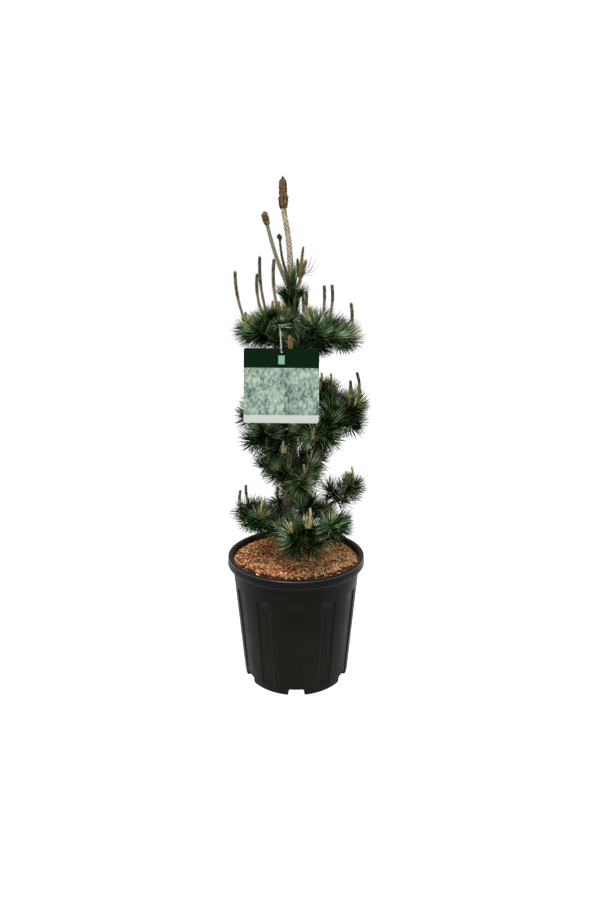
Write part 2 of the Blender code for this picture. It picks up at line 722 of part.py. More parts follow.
def make_filling(plant):
    """The root ball of potting soil, and the layer of fine bark on it."""
    floor = WALL + SEAT_GAP
    soil_top = MULCH_TOP - MULCH_DEPTH
    lip = FLUTE_TOP + WALL * 0.5
    profile = [
        (0.0, soil_top),
        (inner_radius(soil_top, False), soil_top),
        (inner_radius(lip, False), lip + 2 * WALL),
        (inner_radius(lip, True), lip),
        (inner_radius(FOOT_ROUND * 2, True), FOOT_ROUND * 2),
        (inner_radius(FOOT_ROUND * 2, True) - 0.004, floor),
        (0.0, floor),
    ]
    soil = place("soil_solid", as_mesh(turned("soil_turned", profile, FILL_STEPS, plant)), plant)
    pockets = collection("soil_pockets", hidden=True)
    notch_boxes("soil_pocket", NOTCH_WALL + FILL_GAP, -0.002, BASE_RADIUS + 0.006, pockets)
    soil = fused("potting_soil", soil, "DIFFERENCE", pockets, plant)
    soil.data.materials.append(finish("potting_soil"))
    low = soil_top + SEAT_GAP
    edge = MULCH_TOP - MULCH_EDGE_DROP
    layer = [
        (0.0, MULCH_TOP),
        (0.030, MULCH_TOP),
        (0.085, MULCH_TOP - MULCH_EDGE_DROP * 0.4),
        (inner_radius(edge, False), edge),
        (inner_radius(low, False), low),
        (0.0, low),
    ]
    mesh = as_mesh(turned("mulch_turned", layer, FILL_STEPS, plant))
    mulch = place("bark_mulch", mesh, plant, "mulch_bark")
    smooth(mulch, 50)


def make_label(plant):
    """The printed card, with its hole, and the tie that holds it round a shoot."""
    data = bpy.data.curves.new("label_outline", "CURVE")
    data.dimensions = "2D"
    data.fill_mode = "BOTH"
    data.extrude = LABEL_THICK / 2
    wide, high = LABEL_WIDTH / 2 - LABEL_CORNER, LABEL_HEIGHT / 2 - LABEL_CORNER
    outline = []
    for turn, x, y in ((0, wide, high), (90, -wide, high), (180, -wide, -high), (270, wide, -high)):
        outline += [Vector((x, y, 0)) + bearing(turn + step * 30) * LABEL_CORNER for step in range(4)]
    hole_y = LABEL_HEIGHT / 2 - LABEL_HOLE_DROP
    hole = [Vector((0, hole_y, 0)) + bearing(-36 * step) * LABEL_HOLE for step in range(10)]
    for points in (outline, hole):
        spline = data.splines.new("POLY")
        spline.points.add(len(points) - 1)
        for knot, point in zip(spline.points, points):
            knot.co = (*point, 1.0)
        spline.use_cyclic_u = True
    card = bpy.data.objects.new("label_curve", data)
    plant.objects.link(card)
    card.location = LABEL_CENTRE
    card.rotation_euler = (math.radians(90), 0, 0)
    mesh = as_mesh(card)
    # its lower edge hangs a little forward and to the left, so it leans about its hole
    about = Matrix.Translation(Vector(LABEL_CENTRE) + Vector((0, 0, hole_y)))
    lean = Matrix.Rotation(-math.radians(LABEL_TILT_DEG), 4, "X") @ Matrix.Rotation(math.radians(LABEL_ROLL_DEG), 4, "Y")
    mesh.transform(about @ lean @ about.inverted())
    place("hang_label", mesh, plant, "label_card")
    points = tie_line()
    loop = tube("tie_line", points, [TIE_RADIUS] * len(points), 0, plant, cyclic=True)
    place("label_tie", as_mesh(loop), plant, "tie_white")


def label_shoot_path(start):
    """The shoot that the tie hangs on ends level, straight towards the front."""
    held = Vector(LABEL_SHOOT)
    return shoot_path(start, held + Vector((0, 0.040, 0)), held - Vector((0, 0.008, 0)))


def tie_line():
    """The tie goes through the card's hole, turns a quarter on its way up, and passes round the shoot."""
    hole = Vector(LABEL_CENTRE) + Vector((0, 0, LABEL_HEIGHT / 2 - LABEL_HOLE_DROP))
    held = Vector(LABEL_SHOOT) - Vector((0, 0, TIE_WIDE - TIE_RADIUS - SHOOT_TIP_RADIUS * 0.85 - SEAT_GAP))
    foot = hole + Vector((0, 0, TIE_FOOT_RISE))
    sides = {}
    for side in (-1, 1):
        strand = []
        for step in range(TIE_STEPS + 1):
            t = step / TIE_STEPS
            turn = math.radians(90) * min(1.0, 1.6 * t)
            wide = TIE_NARROW + (TIE_WIDE - TIE_NARROW) * max(0.0, (t - 0.80) / 0.20) ** 1.5
            wide += (TIE_FOOT - TIE_NARROW) * min(1.0, max(0.0, (0.42 - t) / 0.20))
            across = Vector((math.sin(turn), math.cos(turn), 0.0)) * wide * side
            strand.append(foot.lerp(held, t) + across)
        sides[side] = strand
    arc = [math.radians(30 * k) for k in range(1, 6)]
    over = [held + Vector((math.cos(a), 0, math.sin(a))) * TIE_WIDE for a in arc]
    arc = [math.radians(180 + 45 * k) for k in range(1, 4)]
    under = [foot + Vector((0, math.cos(a) * TIE_FOOT, math.sin(a) * TIE_NARROW)) for a in arc]
    return under + sides[1] + over + sides[-1][::-1]


def main():
    clear_scene()
    plant = collection("japanese_white_pine")
    cutters = collection("cutters", hidden=True)
    make_pot(plant)
    make_filling(plant)

    points, radii = trunk_line()
    trunk = place("trunk", cut_level(as_mesh(tube("trunk_line", points, radii, 2, plant))), plant, "bark")
    smooth(trunk, 60)
    wider = [r + SEAT_GAP * 1.3 for r in radii]
    cutter = place("trunk_cutter", as_mesh(tube("cutter_line", points, wider, 2, cutters)), cutters)
    cutter.hide_render = True
    cutter.display_type = "WIRE"

    plan_spaces()
    limbs = Limbs()
    limbs.add(points, radii, "trunk")
    boughs = {}
    for name in MASSES:
        boughs[name] = plan_bough(Space.all[name])
        line, sizes, _, long_enough = boughs[name]
        if long_enough:
            limbs.add(line, sizes, "boughs")
    for name in TOP_SHOOTS:
        line, sizes = top_shoot_line(name)
        limbs.add(line, sizes, name)
        heading = (line[-1] - line[-2]).normalized()
        length, radius = TOP_SHOOTS[name][5:7]
        limbs.add([line[-1], line[-1] + heading * length], [radius * 1.3] * 2, name)
    tie = tie_line()
    limbs.add(tie + tie[:1], [TIE_RADIUS] * (len(tie) + 1), "tie")
    x, y, z = LABEL_CENTRE
    for step in range(12):
        height = z - LABEL_HEIGHT / 2 + LABEL_HEIGHT * step / 11
        row = [Vector((x + side * LABEL_WIDTH / 2, y, height)) for side in (-1, 1)]
        limbs.add(row, [0.004] * 2, "label")
    candles = [(Vector((cx, cy, cz)), lean, length) for cx, cy, cz, length, lean in CANDLES]
    path = label_shoot_path(boughs[LABEL_MASS][0][-1])
    limbs.add(path, [SHOOT_TIP_RADIUS] * len(path), LABEL_MASS)
    for foot, lean, length in candles:
        owner = next((s.name for s in Space.all.values() if s.in_cell(foot)), None)
        limbs.add([foot, foot + Vector((lean, 0, length))], [CANDLE_RADIUS * 1.2] * 2, owner)

    for name in MASSES:
        space = Space.all[name]
        line, sizes, heading, long_enough = boughs[name]
        if long_enough:
            bough = place(f"{name}_line", as_mesh(tube(f"{name}_bough_line", line, sizes, 1, plant)), plant)
            boolean(bough, "DIFFERENCE", other=cutter)
            made = place(f"bough_{name}", as_mesh(bough), plant, "bark")
            smooth(made, 60)
            grow_mass(space, line[-1], heading, candles, limbs, plant)
        else:
            grow_mass(space, line[0], (space.centre - line[0]).normalized(), candles, limbs, plant, cutter)
    grow_tuft(limbs, plant, cutter)
    for name in TOP_SHOOTS:
        grow_top_shoot(name, plant, cutter)
    grow_leader_bud(plant)
    make_label(plant)
    total = 0
    for item in plant.objects:
        count = sum(len(face.vertices) - 2 for face in item.data.polygons)
        total += count
        print(item.name, count)
    print("triangles", total)


main()
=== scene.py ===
# Japanese white pine trained in tiers, in a fluted black nursery pot with a hanging label.
# Everything is in metres in the CAD frame: +Z up, the pot's underside at 0, the front at -Y.
import math
import random

import bpy
import numpy as np
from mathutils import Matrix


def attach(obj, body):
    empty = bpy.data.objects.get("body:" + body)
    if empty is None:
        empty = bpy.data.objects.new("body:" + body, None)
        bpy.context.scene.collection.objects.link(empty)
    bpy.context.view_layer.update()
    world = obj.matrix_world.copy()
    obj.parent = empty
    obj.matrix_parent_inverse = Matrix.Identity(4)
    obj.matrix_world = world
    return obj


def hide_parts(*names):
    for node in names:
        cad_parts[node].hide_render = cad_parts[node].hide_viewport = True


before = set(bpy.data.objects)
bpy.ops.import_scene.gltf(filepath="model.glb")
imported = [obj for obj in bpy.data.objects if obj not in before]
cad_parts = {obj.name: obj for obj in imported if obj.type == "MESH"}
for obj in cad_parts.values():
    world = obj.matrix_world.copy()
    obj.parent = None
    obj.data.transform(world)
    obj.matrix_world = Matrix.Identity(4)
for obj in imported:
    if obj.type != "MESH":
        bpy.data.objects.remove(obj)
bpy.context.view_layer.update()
golden = math.radians(137.508)


# Small tools

def linearColour(hexText):
    # sRGB hex to linear: each channel c becomes ((c + 0.055) / 1.055) ** 2.4, or c / 12.92 when dark
    channels = [int(hexText[i:i + 2], 16) / 255 for i in (1, 3, 5)]
    return (*[((c + 0.055) / 1.055) ** 2.4 if c > 0.04045 else c / 12.92 for c in channels], 1.0)


def addNode(links, kind, inputs=None, **settings):
    # one node, its settings by name, and what runs into it as {socket: output}
    node = links.nodes.new(kind)
    for key, value in settings.items():
        if key in node.bl_rna.properties:
            setattr(node, key, value)
        else:
            node.inputs[key.replace("_", " ")].default_value = value
    for socket, output in (inputs or {}).items():
        links.links.new(output, node.inputs[socket])
    return node


def newMaterial(name, colour, roughness, **sockets):
    # a Principled shader with plain values on its own sockets
    made = bpy.data.materials.new(name)
    made.use_nodes = True
    shader = made.node_tree.nodes["Principled BSDF"]
    shader.inputs["Base Color"].default_value = linearColour(colour)
    shader.inputs["Roughness"].default_value = roughness
    for key, value in sockets.items():
        shader.inputs[key.replace("_", " ")].default_value = value
    return made


def shaderOf(made):
    # a material's node tree, its shader, and the place of each point of the piece
    links = made.node_tree
    return links, links.nodes["Principled BSDF"], addNode(links, "ShaderNodeTexCoord").outputs["Object"]


def noise(links, place, scale, detail, roughness=0.5):
    return addNode(
        links, "ShaderNodeTexNoise", {"Vector": place}, Scale=scale, Detail=detail, Roughness=roughness,
    ).outputs[0]


def addBumps(links, shader, height, strength, distance):
    bump = addNode(links, "ShaderNodeBump", {"Height": height}, Strength=strength, Distance=distance)
    links.links.new(bump.outputs[0], shader.inputs["Normal"])


def colourRamp(links, factor, stops):
    # a colour ramp with hex colours at the given places
    ramp = addNode(links, "ShaderNodeValToRGB", {0: factor})
    elements = ramp.color_ramp.elements
    while len(elements) < len(stops):
        elements.new(0.5)
    for element, (place, colour) in zip(elements, stops):
        element.position = place
        element.color = linearColour(colour)
    return ramp.outputs[0]


def newObject(name, data):
    made = bpy.data.objects.new(name, data)
    bpy.context.scene.collection.objects.link(made)
    return made


def makePiece(name, points, faces, materials, faceSlots=None, smooth=True, replaced=(), slot=None):
    # an object from an array of points and a list of arrays of faces with 3 or 4 corners each
    sizes = np.concatenate([np.full(len(f), f.shape[1]) for f in faces])
    corners = np.concatenate([f.ravel() for f in faces])
    mesh = bpy.data.meshes.new(name)
    mesh.vertices.add(len(points))
    mesh.vertices.foreach_set("co", np.asarray(points, np.float32).ravel())
    mesh.loops.add(len(corners))
    mesh.loops.foreach_set("vertex_index", corners.astype(np.int32))
    mesh.polygons.add(len(sizes))
    mesh.polygons.foreach_set("loop_start", np.concatenate([[0], np.cumsum(sizes)[:-1]]).astype(np.int32))
    for material in materials:
        mesh.materials.append(material)
    if faceSlots is not None:
        mesh.polygons.foreach_set("material_index", np.asarray(faceSlots, np.int32))
    mesh.polygons.foreach_set("use_smooth", np.full(len(sizes), smooth))
    mesh.update(calc_edges=True)
    mesh.validate()
    piece = newObject(name, mesh)
    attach(piece, "root")
    if replaced:
        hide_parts(*replaced)


def ringFaces(rows, around, start=0):
    # quads between neighbouring rings of a closed tube, turned outwards
    i, j = np.meshgrid(np.arange(rows - 1), np.arange(around), indexing="ij")
    a, b = i * around + j, i * around + (j + 1) % around
    return start + np.stack([a, b, b + around, a + around], -1).reshape(-1, 4)


def unit(v):
    return v / np.maximum(np.linalg.norm(v, axis=-1, keepdims=True), 1e-12)


def fullTurn(count):
    return np.linspace(0, 2 * np.pi, count, endpoint=False)


def outwards(angle):
    # level directions at the given angles
    return np.stack([np.cos(angle), np.sin(angle), 0 * angle], -1)


def pathFrames(path):
    # at each point of a path its direction and two sides, carried along without twist
    step = unit(np.diff(path, axis=0))
    ways = unit(np.vstack([step[:1], step[:-1] + step[1:], step[-1:]]))
    side = unit(np.cross(ways[0], [0.3, 0.2, 0.9] if abs(ways[0][2]) < 0.9 else [1.0, 0.1, 0.0]))
    sides = []
    for way in ways:
        side = unit(side - way * side.dot(way))
        sides.append(side)
    sides = np.array(sides)
    return ways, sides, np.cross(ways, sides)


def tubePoints(path, radii, around, relief=None):
    # a tube: centre + radius * (1 + relief) * (cos a * side + sin a * other side), and a point at each end
    _, sideA, sideB = pathFrames(path)
    angle = fullTurn(around)
    size = np.asarray(radii)[:, None] * (1 + (0 if relief is None else relief))
    ring = np.cos(angle)[None, :, None] * sideA[:, None] + np.sin(angle)[None, :, None] * sideB[:, None]
    points = path[:, None] + ring * (size * np.ones((len(path), around)))[..., None]
    return np.concatenate([points.reshape(-1, 3), path[:1], path[-1:]])


def tubeFaces(rows, around, start=0):
    # the sides of a closed tube and the fans that close its ends
    j = np.arange(around)
    low = np.stack([np.full(around, rows * around), (j + 1) % around, j], -1)
    last = (rows - 1) * around
    high = np.stack([np.full(around, rows * around + 1), last + j, last + (j + 1) % around], -1)
    return ringFaces(rows, around, start), start + np.concatenate([low, high])


def bezier(a, b, c, count):
    # a quadratic curve: (1-t)^2 a + 2t(1-t) b + t^2 c
    t = np.linspace(0, 1, count)[:, None]
    return (1 - t) ** 2 * np.array(a) + 2 * t * (1 - t) * np.array(b) + t**2 * np.array(c)


class Heap:
    # gathers points and faces of many small shapes, each with its material number, for one joined piece
    def __init__(self):
        self.points, self.quads, self.tris, self.quadSlots, self.triSlots, self.count = [], [], [], [], [], 0

    def add(self, points, quads, tris, quadSlot=0, triSlot=0):
        self.points.append(points)
        self.quads.append(quads + self.count)
        self.tris.append(tris + self.count)
        self.quadSlots.append(np.broadcast_to(quadSlot, len(quads)))
        self.triSlots.append(np.broadcast_to(triSlot, len(tris)))
        self.count += len(points)

    def piece(self, name, materials, **more):
        faces = [np.concatenate(self.quads), np.concatenate(self.tris)]
        slots = np.concatenate(self.quadSlots + self.triSlots)
        makePiece(name, np.concatenate(self.points), faces, materials, slots, **more)


# The plan of the tree, by the same rule as the solids

tree = {
    # trunk stations: height, X, Y, radius
    "trunk": (
        (0.238, -0.005, 0.002, 0.0205), (0.258, -0.006, 0.002, 0.0130), (0.300, -0.014, 0.001, 0.0108),
        (0.350, -0.018, 0.000, 0.0092), (0.420, -0.012, 0.003, 0.0082), (0.500, -0.004, 0.002, 0.0075),
        (0.580, -0.002, 0.000, 0.0070), (0.660, -0.005, 0.000, 0.0063), (0.735, -0.0075, 0.000, 0.0055),
        (0.804, -0.0090, 0.000, 0.0049), (0.868, -0.0126, 0.000, 0.0043), (0.926, -0.0221, 0.000, 0.0037),
    ),
    # masses: bearing, reach, height of the centre, radius, half height, height of the bough's foot, shoots
    "masses": {
        "low_left": (193, 0.082, 0.338, 0.053, 0.044, 0.288, 4),
        "low_front": (-79, 0.080, 0.320, 0.055, 0.047, 0.276, 6),
        "low_front_left": (-129, 0.054, 0.334, 0.051, 0.044, 0.300, 7),
        "low_front_right": (-35, 0.077, 0.325, 0.047, 0.042, 0.288, 5),
        "low_inner_right": (-14, 0.040, 0.354, 0.045, 0.038, 0.343, 6),
        "low_right": (-10, 0.096, 0.394, 0.051, 0.041, 0.312, 5),
        "low_back_right": (35, 0.095, 0.312, 0.050, 0.040, 0.285, 5),
        "low_back": (95, 0.085, 0.340, 0.055, 0.045, 0.295, 6),
        "low_back_left": (144, 0.087, 0.314, 0.048, 0.040, 0.280, 5),
        "waist_front": (-82, 0.052, 0.434, 0.054, 0.052, 0.415, 5),
        "waist_left": (180, 0.045, 0.445, 0.040, 0.042, 0.428, 6),
        "waist_right": (5, 0.035, 0.457, 0.039, 0.041, 0.445, 6),
        "waist_back": (95, 0.058, 0.430, 0.050, 0.045, 0.410, 5),
        "mid_left": (180, 0.072, 0.551, 0.050, 0.060, 0.522, 7),
        "mid_front_left": (-122, 0.091, 0.518, 0.056, 0.048, 0.490, 7),
        "mid_front_right": (-62, 0.086, 0.530, 0.055, 0.048, 0.502, 7),
        "mid_right": (-10, 0.091, 0.551, 0.052, 0.070, 0.515, 6),
        "mid_back_right": (52, 0.085, 0.572, 0.055, 0.050, 0.540, 5),
        "mid_back_left": (125, 0.088, 0.558, 0.055, 0.047, 0.520, 5),
        "up_left": (180, 0.074, 0.704, 0.044, 0.032, 0.677, 3),
        "up_front_left": (-127, 0.074, 0.702, 0.052, 0.044, 0.670, 4),
        "up_front_right": (-63, 0.080, 0.696, 0.055, 0.044, 0.665, 5),
        "up_right": (-5, 0.078, 0.699, 0.048, 0.037, 0.676, 5),
        "up_back_right": (50, 0.068, 0.712, 0.051, 0.042, 0.686, 4),
        "up_back_left": (125, 0.075, 0.712, 0.052, 0.042, 0.680, 5),
    },
    "tuftCentre": (-0.008, 0.0, 0.775), "tuftRadius": 0.050,
    # candles: foot X, Y, Z, length, lean of the tip along X
    "candles": (
        (-0.097, 0.000, 0.728, 0.090, -0.016), (-0.092, -0.033, 0.712, 0.030, 0.000),
        (-0.077, -0.043, 0.712, 0.025, 0.000), (-0.058, 0.026, 0.748, 0.100, -0.010),
        (-0.066, 0.010, 0.746, 0.068, -0.006), (-0.032, -0.043, 0.745, 0.089, -0.006),
        (-0.040, -0.062, 0.732, 0.028, 0.000), (-0.030, -0.064, 0.730, 0.029, 0.001),
        (-0.049, -0.060, 0.728, 0.022, -0.002), (-0.021, -0.062, 0.729, 0.024, 0.001),
        (0.015, -0.044, 0.730, 0.048, 0.004), (0.021, -0.068, 0.726, 0.022, 0.001),
        (0.040, -0.080, 0.700, 0.022, 0.001), (-0.010, -0.108, 0.674, 0.025, 0.000),
        (0.101, -0.020, 0.698, 0.061, 0.001), (0.087, -0.026, 0.700, 0.030, 0.001),
        (0.054, 0.034, 0.745, 0.050, 0.001), (0.0655, 0.008, 0.736, 0.058, 0.003),
        (0.014, 0.044, 0.745, 0.038, -0.001), (0.125, 0.000, 0.588, 0.042, -0.007),
        (0.100, -0.050, 0.575, 0.043, 0.001), (0.110, -0.050, 0.574, 0.028, 0.002),
        (0.052, 0.047, 0.598, 0.028, 0.000), (-0.023, -0.118, 0.498, 0.018, 0.001),
        (0.031, -0.112, 0.522, 0.016, 0.000), (0.0136, -0.082, 0.434, 0.032, 0.001),
        (0.022, -0.078, 0.436, 0.018, 0.001), (-0.111, -0.022, 0.364, 0.035, 0.001),
        (-0.097, 0.000, 0.366, 0.038, -0.004), (-0.068, -0.052, 0.352, 0.032, 0.003),
        (0.022, -0.100, 0.349, 0.038, 0.004), (-0.009, -0.100, 0.338, 0.020, 0.000),
        (0.112, -0.020, 0.414, 0.032, -0.002), (0.102, -0.024, 0.408, 0.030, -0.004),
    ),
    "candleRadius": 0.0030, "looseCandle": (0.016, 0.036),
    # top shoots: foot height on the trunk, tip X, Y, Z, stem radius, bud length and radius, outward run
    "topShoots": {
        "side_leader_left": (0.7770, -0.0510, -0.020, 0.8935, 0.0030, 0.0240, 0.0072, 0.16),
        "side_leader_back": (0.7900, -0.0300, 0.020, 0.8765, 0.0021, 0.0110, 0.0040, 0.34),
        "side_leader_right": (0.7830, 0.0085, -0.010, 0.8060, 0.0026, 0.0500, 0.0072, 0.62),
    },
    # boughs: radius against the trunk's, its least, the share of it at the tip, the shortest one, steps along
    "boughShare": 0.44, "boughLeast": 0.0030, "boughTaper": 0.75, "boughShortest": 0.020, "boughSteps": 3,
    # shares of a mass's radius: where its bough ends before the middle, how far its stem runs past it,
    # how far its shoots reach out
    "entry": 0.62, "stemEnd": 0.10, "shootOut": 0.60,
    # shoots: radius at the tip, where sprays begin, steps along, how far needles stand out past the space
    "shootTipRadius": 0.0034, "sprayFrom": 0.42, "sections": 3, "fringe": 0.014,
    # clearances at a seat, between spaces and from other limbs
    "seatGap": 0.0003, "cellMargin": 0.0016, "limbMargin": 0.0012, "seed": 31,
}
label = {
    "width": 0.1265, "height": 0.1245, "centre": (-0.0238, -0.1400, 0.6158), "holeDrop": 0.0060,
    "tiltDeg": 8.0, "rollDeg": 0.55,
    # the mass and the shoot that it hangs on
    "mass": "up_front_left", "shoot": (-0.0262, -0.1395, 0.7150),
    # the tie: its radius; half its width on the way up, at the card's hole and over the shoot; how far its
    # foot lies above the hole; steps on the way up
    "tieRadius": 0.0007, "narrow": 0.0012, "footWide": 0.0026, "wide": 0.0056,
    "footRise": 0.0030, "steps": 12,
}


def trunkLine(steps=2):
    # a Catmull-Rom curve through the trunk's stations, each as (X, Y, Z, radius)
    rows = np.array([(x, y, z, r) for z, x, y, r in tree["trunk"]])
    before, after = np.vstack([rows[:1], rows[:-2]]), np.vstack([rows[2:], rows[-1:]])
    a, b = rows[:-1], rows[1:]
    t = (np.arange(steps) / steps)[None, :, None]
    a, b, before, after = (part[:, None] for part in (a, b, before, after))
    line = 0.5 * (2 * a + (b - before) * t + (2 * before - 5 * a + 4 * b - after) * t**2
                  + (3 * a - before - 3 * b + after) * t**3)
    line = np.vstack([line.reshape(-1, 4), rows[-1:]])
    return line[:, :3], line[:, 3]


def trunkAt(height):
    # the trunk's centre and radius at a height
    points, radii = trunkLine()
    centre = np.array([np.interp(height, points[:, 2], points[:, k]) for k in range(2)] + [height])
    return centre, float(np.interp(height, points[:, 2], radii))


def bearing(degrees):
    return np.array([math.cos(math.radians(degrees)), math.sin(math.radians(degrees)), 0.0])


spaces = {}
for massName, (turn, reach, height, radius, half, foot, shoots) in tree["masses"].items():
    centre = bearing(turn) * reach + [0, 0, height]
    spaces[massName] = {"centre": centre, "radius": radius, "half": half, "foot": foot, "shoots": shoots}
spaces["top_tuft"] = {
    "centre": np.array(tree["tuftCentre"]), "radius": tree["tuftRadius"], "half": tree["tuftRadius"],
}


def inCell(name, point):
    # nearer to this mass than to any other, by distance squared less radius squared, with a margin
    own = spaces[name]
    power = ((point - own["centre"]) ** 2).sum() - own["radius"] ** 2
    return all(
        ((point - other["centre"]) ** 2).sum() - other["radius"] ** 2 - power
        > 2 * tree["cellMargin"] * np.linalg.norm(other["centre"] - own["centre"])
        for key, other in spaces.items() if key != name
    )


limbs = {"a": [], "b": [], "radius": [], "owner": []}


def addLimb(points, radii, owner):
    for a, b, ra, rb in zip(points, points[1:], radii, radii[1:]):
        limbs["a"].append(a)
        limbs["b"].append(b)
        limbs["radius"].append(max(ra, rb))
        limbs["owner"].append(owner)


def limbDistance(points, owner):
    # how far each point lies outside the nearest limb that isn't the mass's own
    use = [i for i, name in enumerate(limbs["owner"]) if name != owner]
    a, b = np.array(limbs["a"])[use], np.array(limbs["b"])[use]
    thick = np.array(limbs["radius"])[use]
    along = b - a
    square = np.maximum((along**2).sum(1), 1e-12)
    t = np.clip(((points[:, None] - a) * along).sum(-1) / square, 0, 1)
    near = np.linalg.norm(points[:, None] - a - along * t[..., None], axis=-1)
    return (near - thick).min(1)


def planBough(space):
    # from the trunk's middle out and up to where it enters its mass
    root, trunkRadius = trunkAt(space["foot"])
    flat = (space["centre"] - root) * [1, 1, 0]
    middle = root + flat * 0.5 + [0, 0, (space["centre"][2] - root[2]) * 0.22]
    tip = space["centre"] - unit(space["centre"] - middle) * space["radius"] * tree["entry"]
    steps = tree["boughSteps"]
    points = bezier(root, middle, tip, steps + 1)
    radius = max(trunkRadius * tree["boughShare"], tree["boughLeast"])
    radii = radius * (1 - (1 - tree["boughTaper"]) * np.arange(steps + 1) / steps)
    heading = unit(points[-1] - points[-2])
    long = np.linalg.norm(tip - root) - trunkRadius > tree["boughShortest"]
    return {"points": points, "radii": radii, "middle": middle, "heading": heading, "long": long}


def topShootLine(name, count=4):
    height, x, y, z, radius, _, _, outwards = tree["topShoots"][name]
    root, _ = trunkAt(height)
    tip = np.array([x, y, z])
    middle = root + (tip - root) * 0.45 + [(x - root[0]) * outwards, (y - root[1]) * outwards, -0.004]
    return bezier(root, middle, tip, count), radius * np.linspace(1.12, 0.88, count)


def shootPath(start, middle, tip):
    # the few points that the rule tests, closer together along the sprays
    begin = tree["sprayFrom"]
    steps = begin + (1 - begin) * np.arange(tree["sections"] + 1) / tree["sections"]
    shares = np.concatenate([[0.0], steps])[:, None]
    return (1 - shares) ** 2 * start + 2 * shares * (1 - shares) * middle + shares**2 * tip


def heldShoot():
    # the level shoot over the label: its middle and its tip
    return np.array(label["shoot"]) + [0, 0.040, 0], np.array(label["shoot"]) - [0, 0.008, 0]


def cardHole():
    return np.array(label["centre"]) + [0, 0, label["height"] / 2 - label["holeDrop"]]


def tieLine(shape):
    # through the card's hole, a quarter turn on the way up, and over the shoot
    steps, narrow, wide, footWide = (shape[key] for key in ("steps", "narrow", "wide", "footWide"))
    foot = cardHole() + [0, 0, shape["footRise"]]
    seat = wide - label["tieRadius"] - tree["shootTipRadius"] * 0.85 - tree["seatGap"]
    held = np.array(label["shoot"]) - [0, 0, shape.get("seat", seat)]
    t = np.linspace(0, 1, steps + 1)[:, None]
    turn = np.pi / 2 * np.minimum(1, 1.6 * t)
    apart = narrow + (wide - narrow) * np.maximum(0, (t - 0.80) / 0.20) ** 1.5
    apart = apart + (footWide - narrow) * np.clip((0.42 - t) / 0.20, 0, 1)
    across = np.concatenate([np.sin(turn), np.cos(turn), 0 * t], 1) * apart
    middle = foot + (held - foot) * t
    arc = np.radians(np.arange(30, 180, 30 * label["steps"] / steps))
    over = held + np.stack([np.cos(arc), 0 * arc, np.sin(arc)], 1) * wide
    arc = np.radians(180 + np.arange(45, 180, 45 * label["steps"] / steps))
    under = foot + np.stack([0 * arc, np.cos(arc) * footWide, np.sin(arc) * narrow], 1)
    return np.concatenate([under, middle + across, over, (middle - across)[::-1]])


def shootsOf(name, foot, end, candles):
    # start, tip, lean and candle length of each shoot: those with a given candle first, then the others in a
    # golden-angle spiral
    space = spaces[name]
    chance = random.Random(tree["seed"] + sum(map(ord, name)))
    phase = chance.uniform(0, 2 * math.pi)
    found = [(tip, lean, length, True) for tip, lean, length in candles if inCell(name, tip)]
    for k in range(space["shoots"]):
        rise = -0.70 + 1.40 * (k + 0.5) / space["shoots"]
        out = math.sqrt(max(0.1, 1 - rise * rise)) * tree["shootOut"] * space["radius"]
        turn = phase + golden * k
        tip = space["centre"] + [math.cos(turn) * out, math.sin(turn) * out, rise * space["half"] * 0.72]
        length = chance.uniform(*tree["looseCandle"])
        found.append((tip, 0.0, length if rise > 0.1 and space["centre"][1] > 0 else 0.0, False))
    for tip, lean, length, given in found:
        share = (tip - foot).dot(unit(end - foot)) / np.linalg.norm(end - foot)
        share = min(0.96, max(0.20, share - 0.55 + chance.uniform(-0.06, 0.06)))
        yield foot + (end - foot) * share, tip, lean, length, given


def shootRow(start, middle, tip, top=None, held=False):
    return {"start": start, "middle": middle, "tip": tip, "top": top, "held": held}


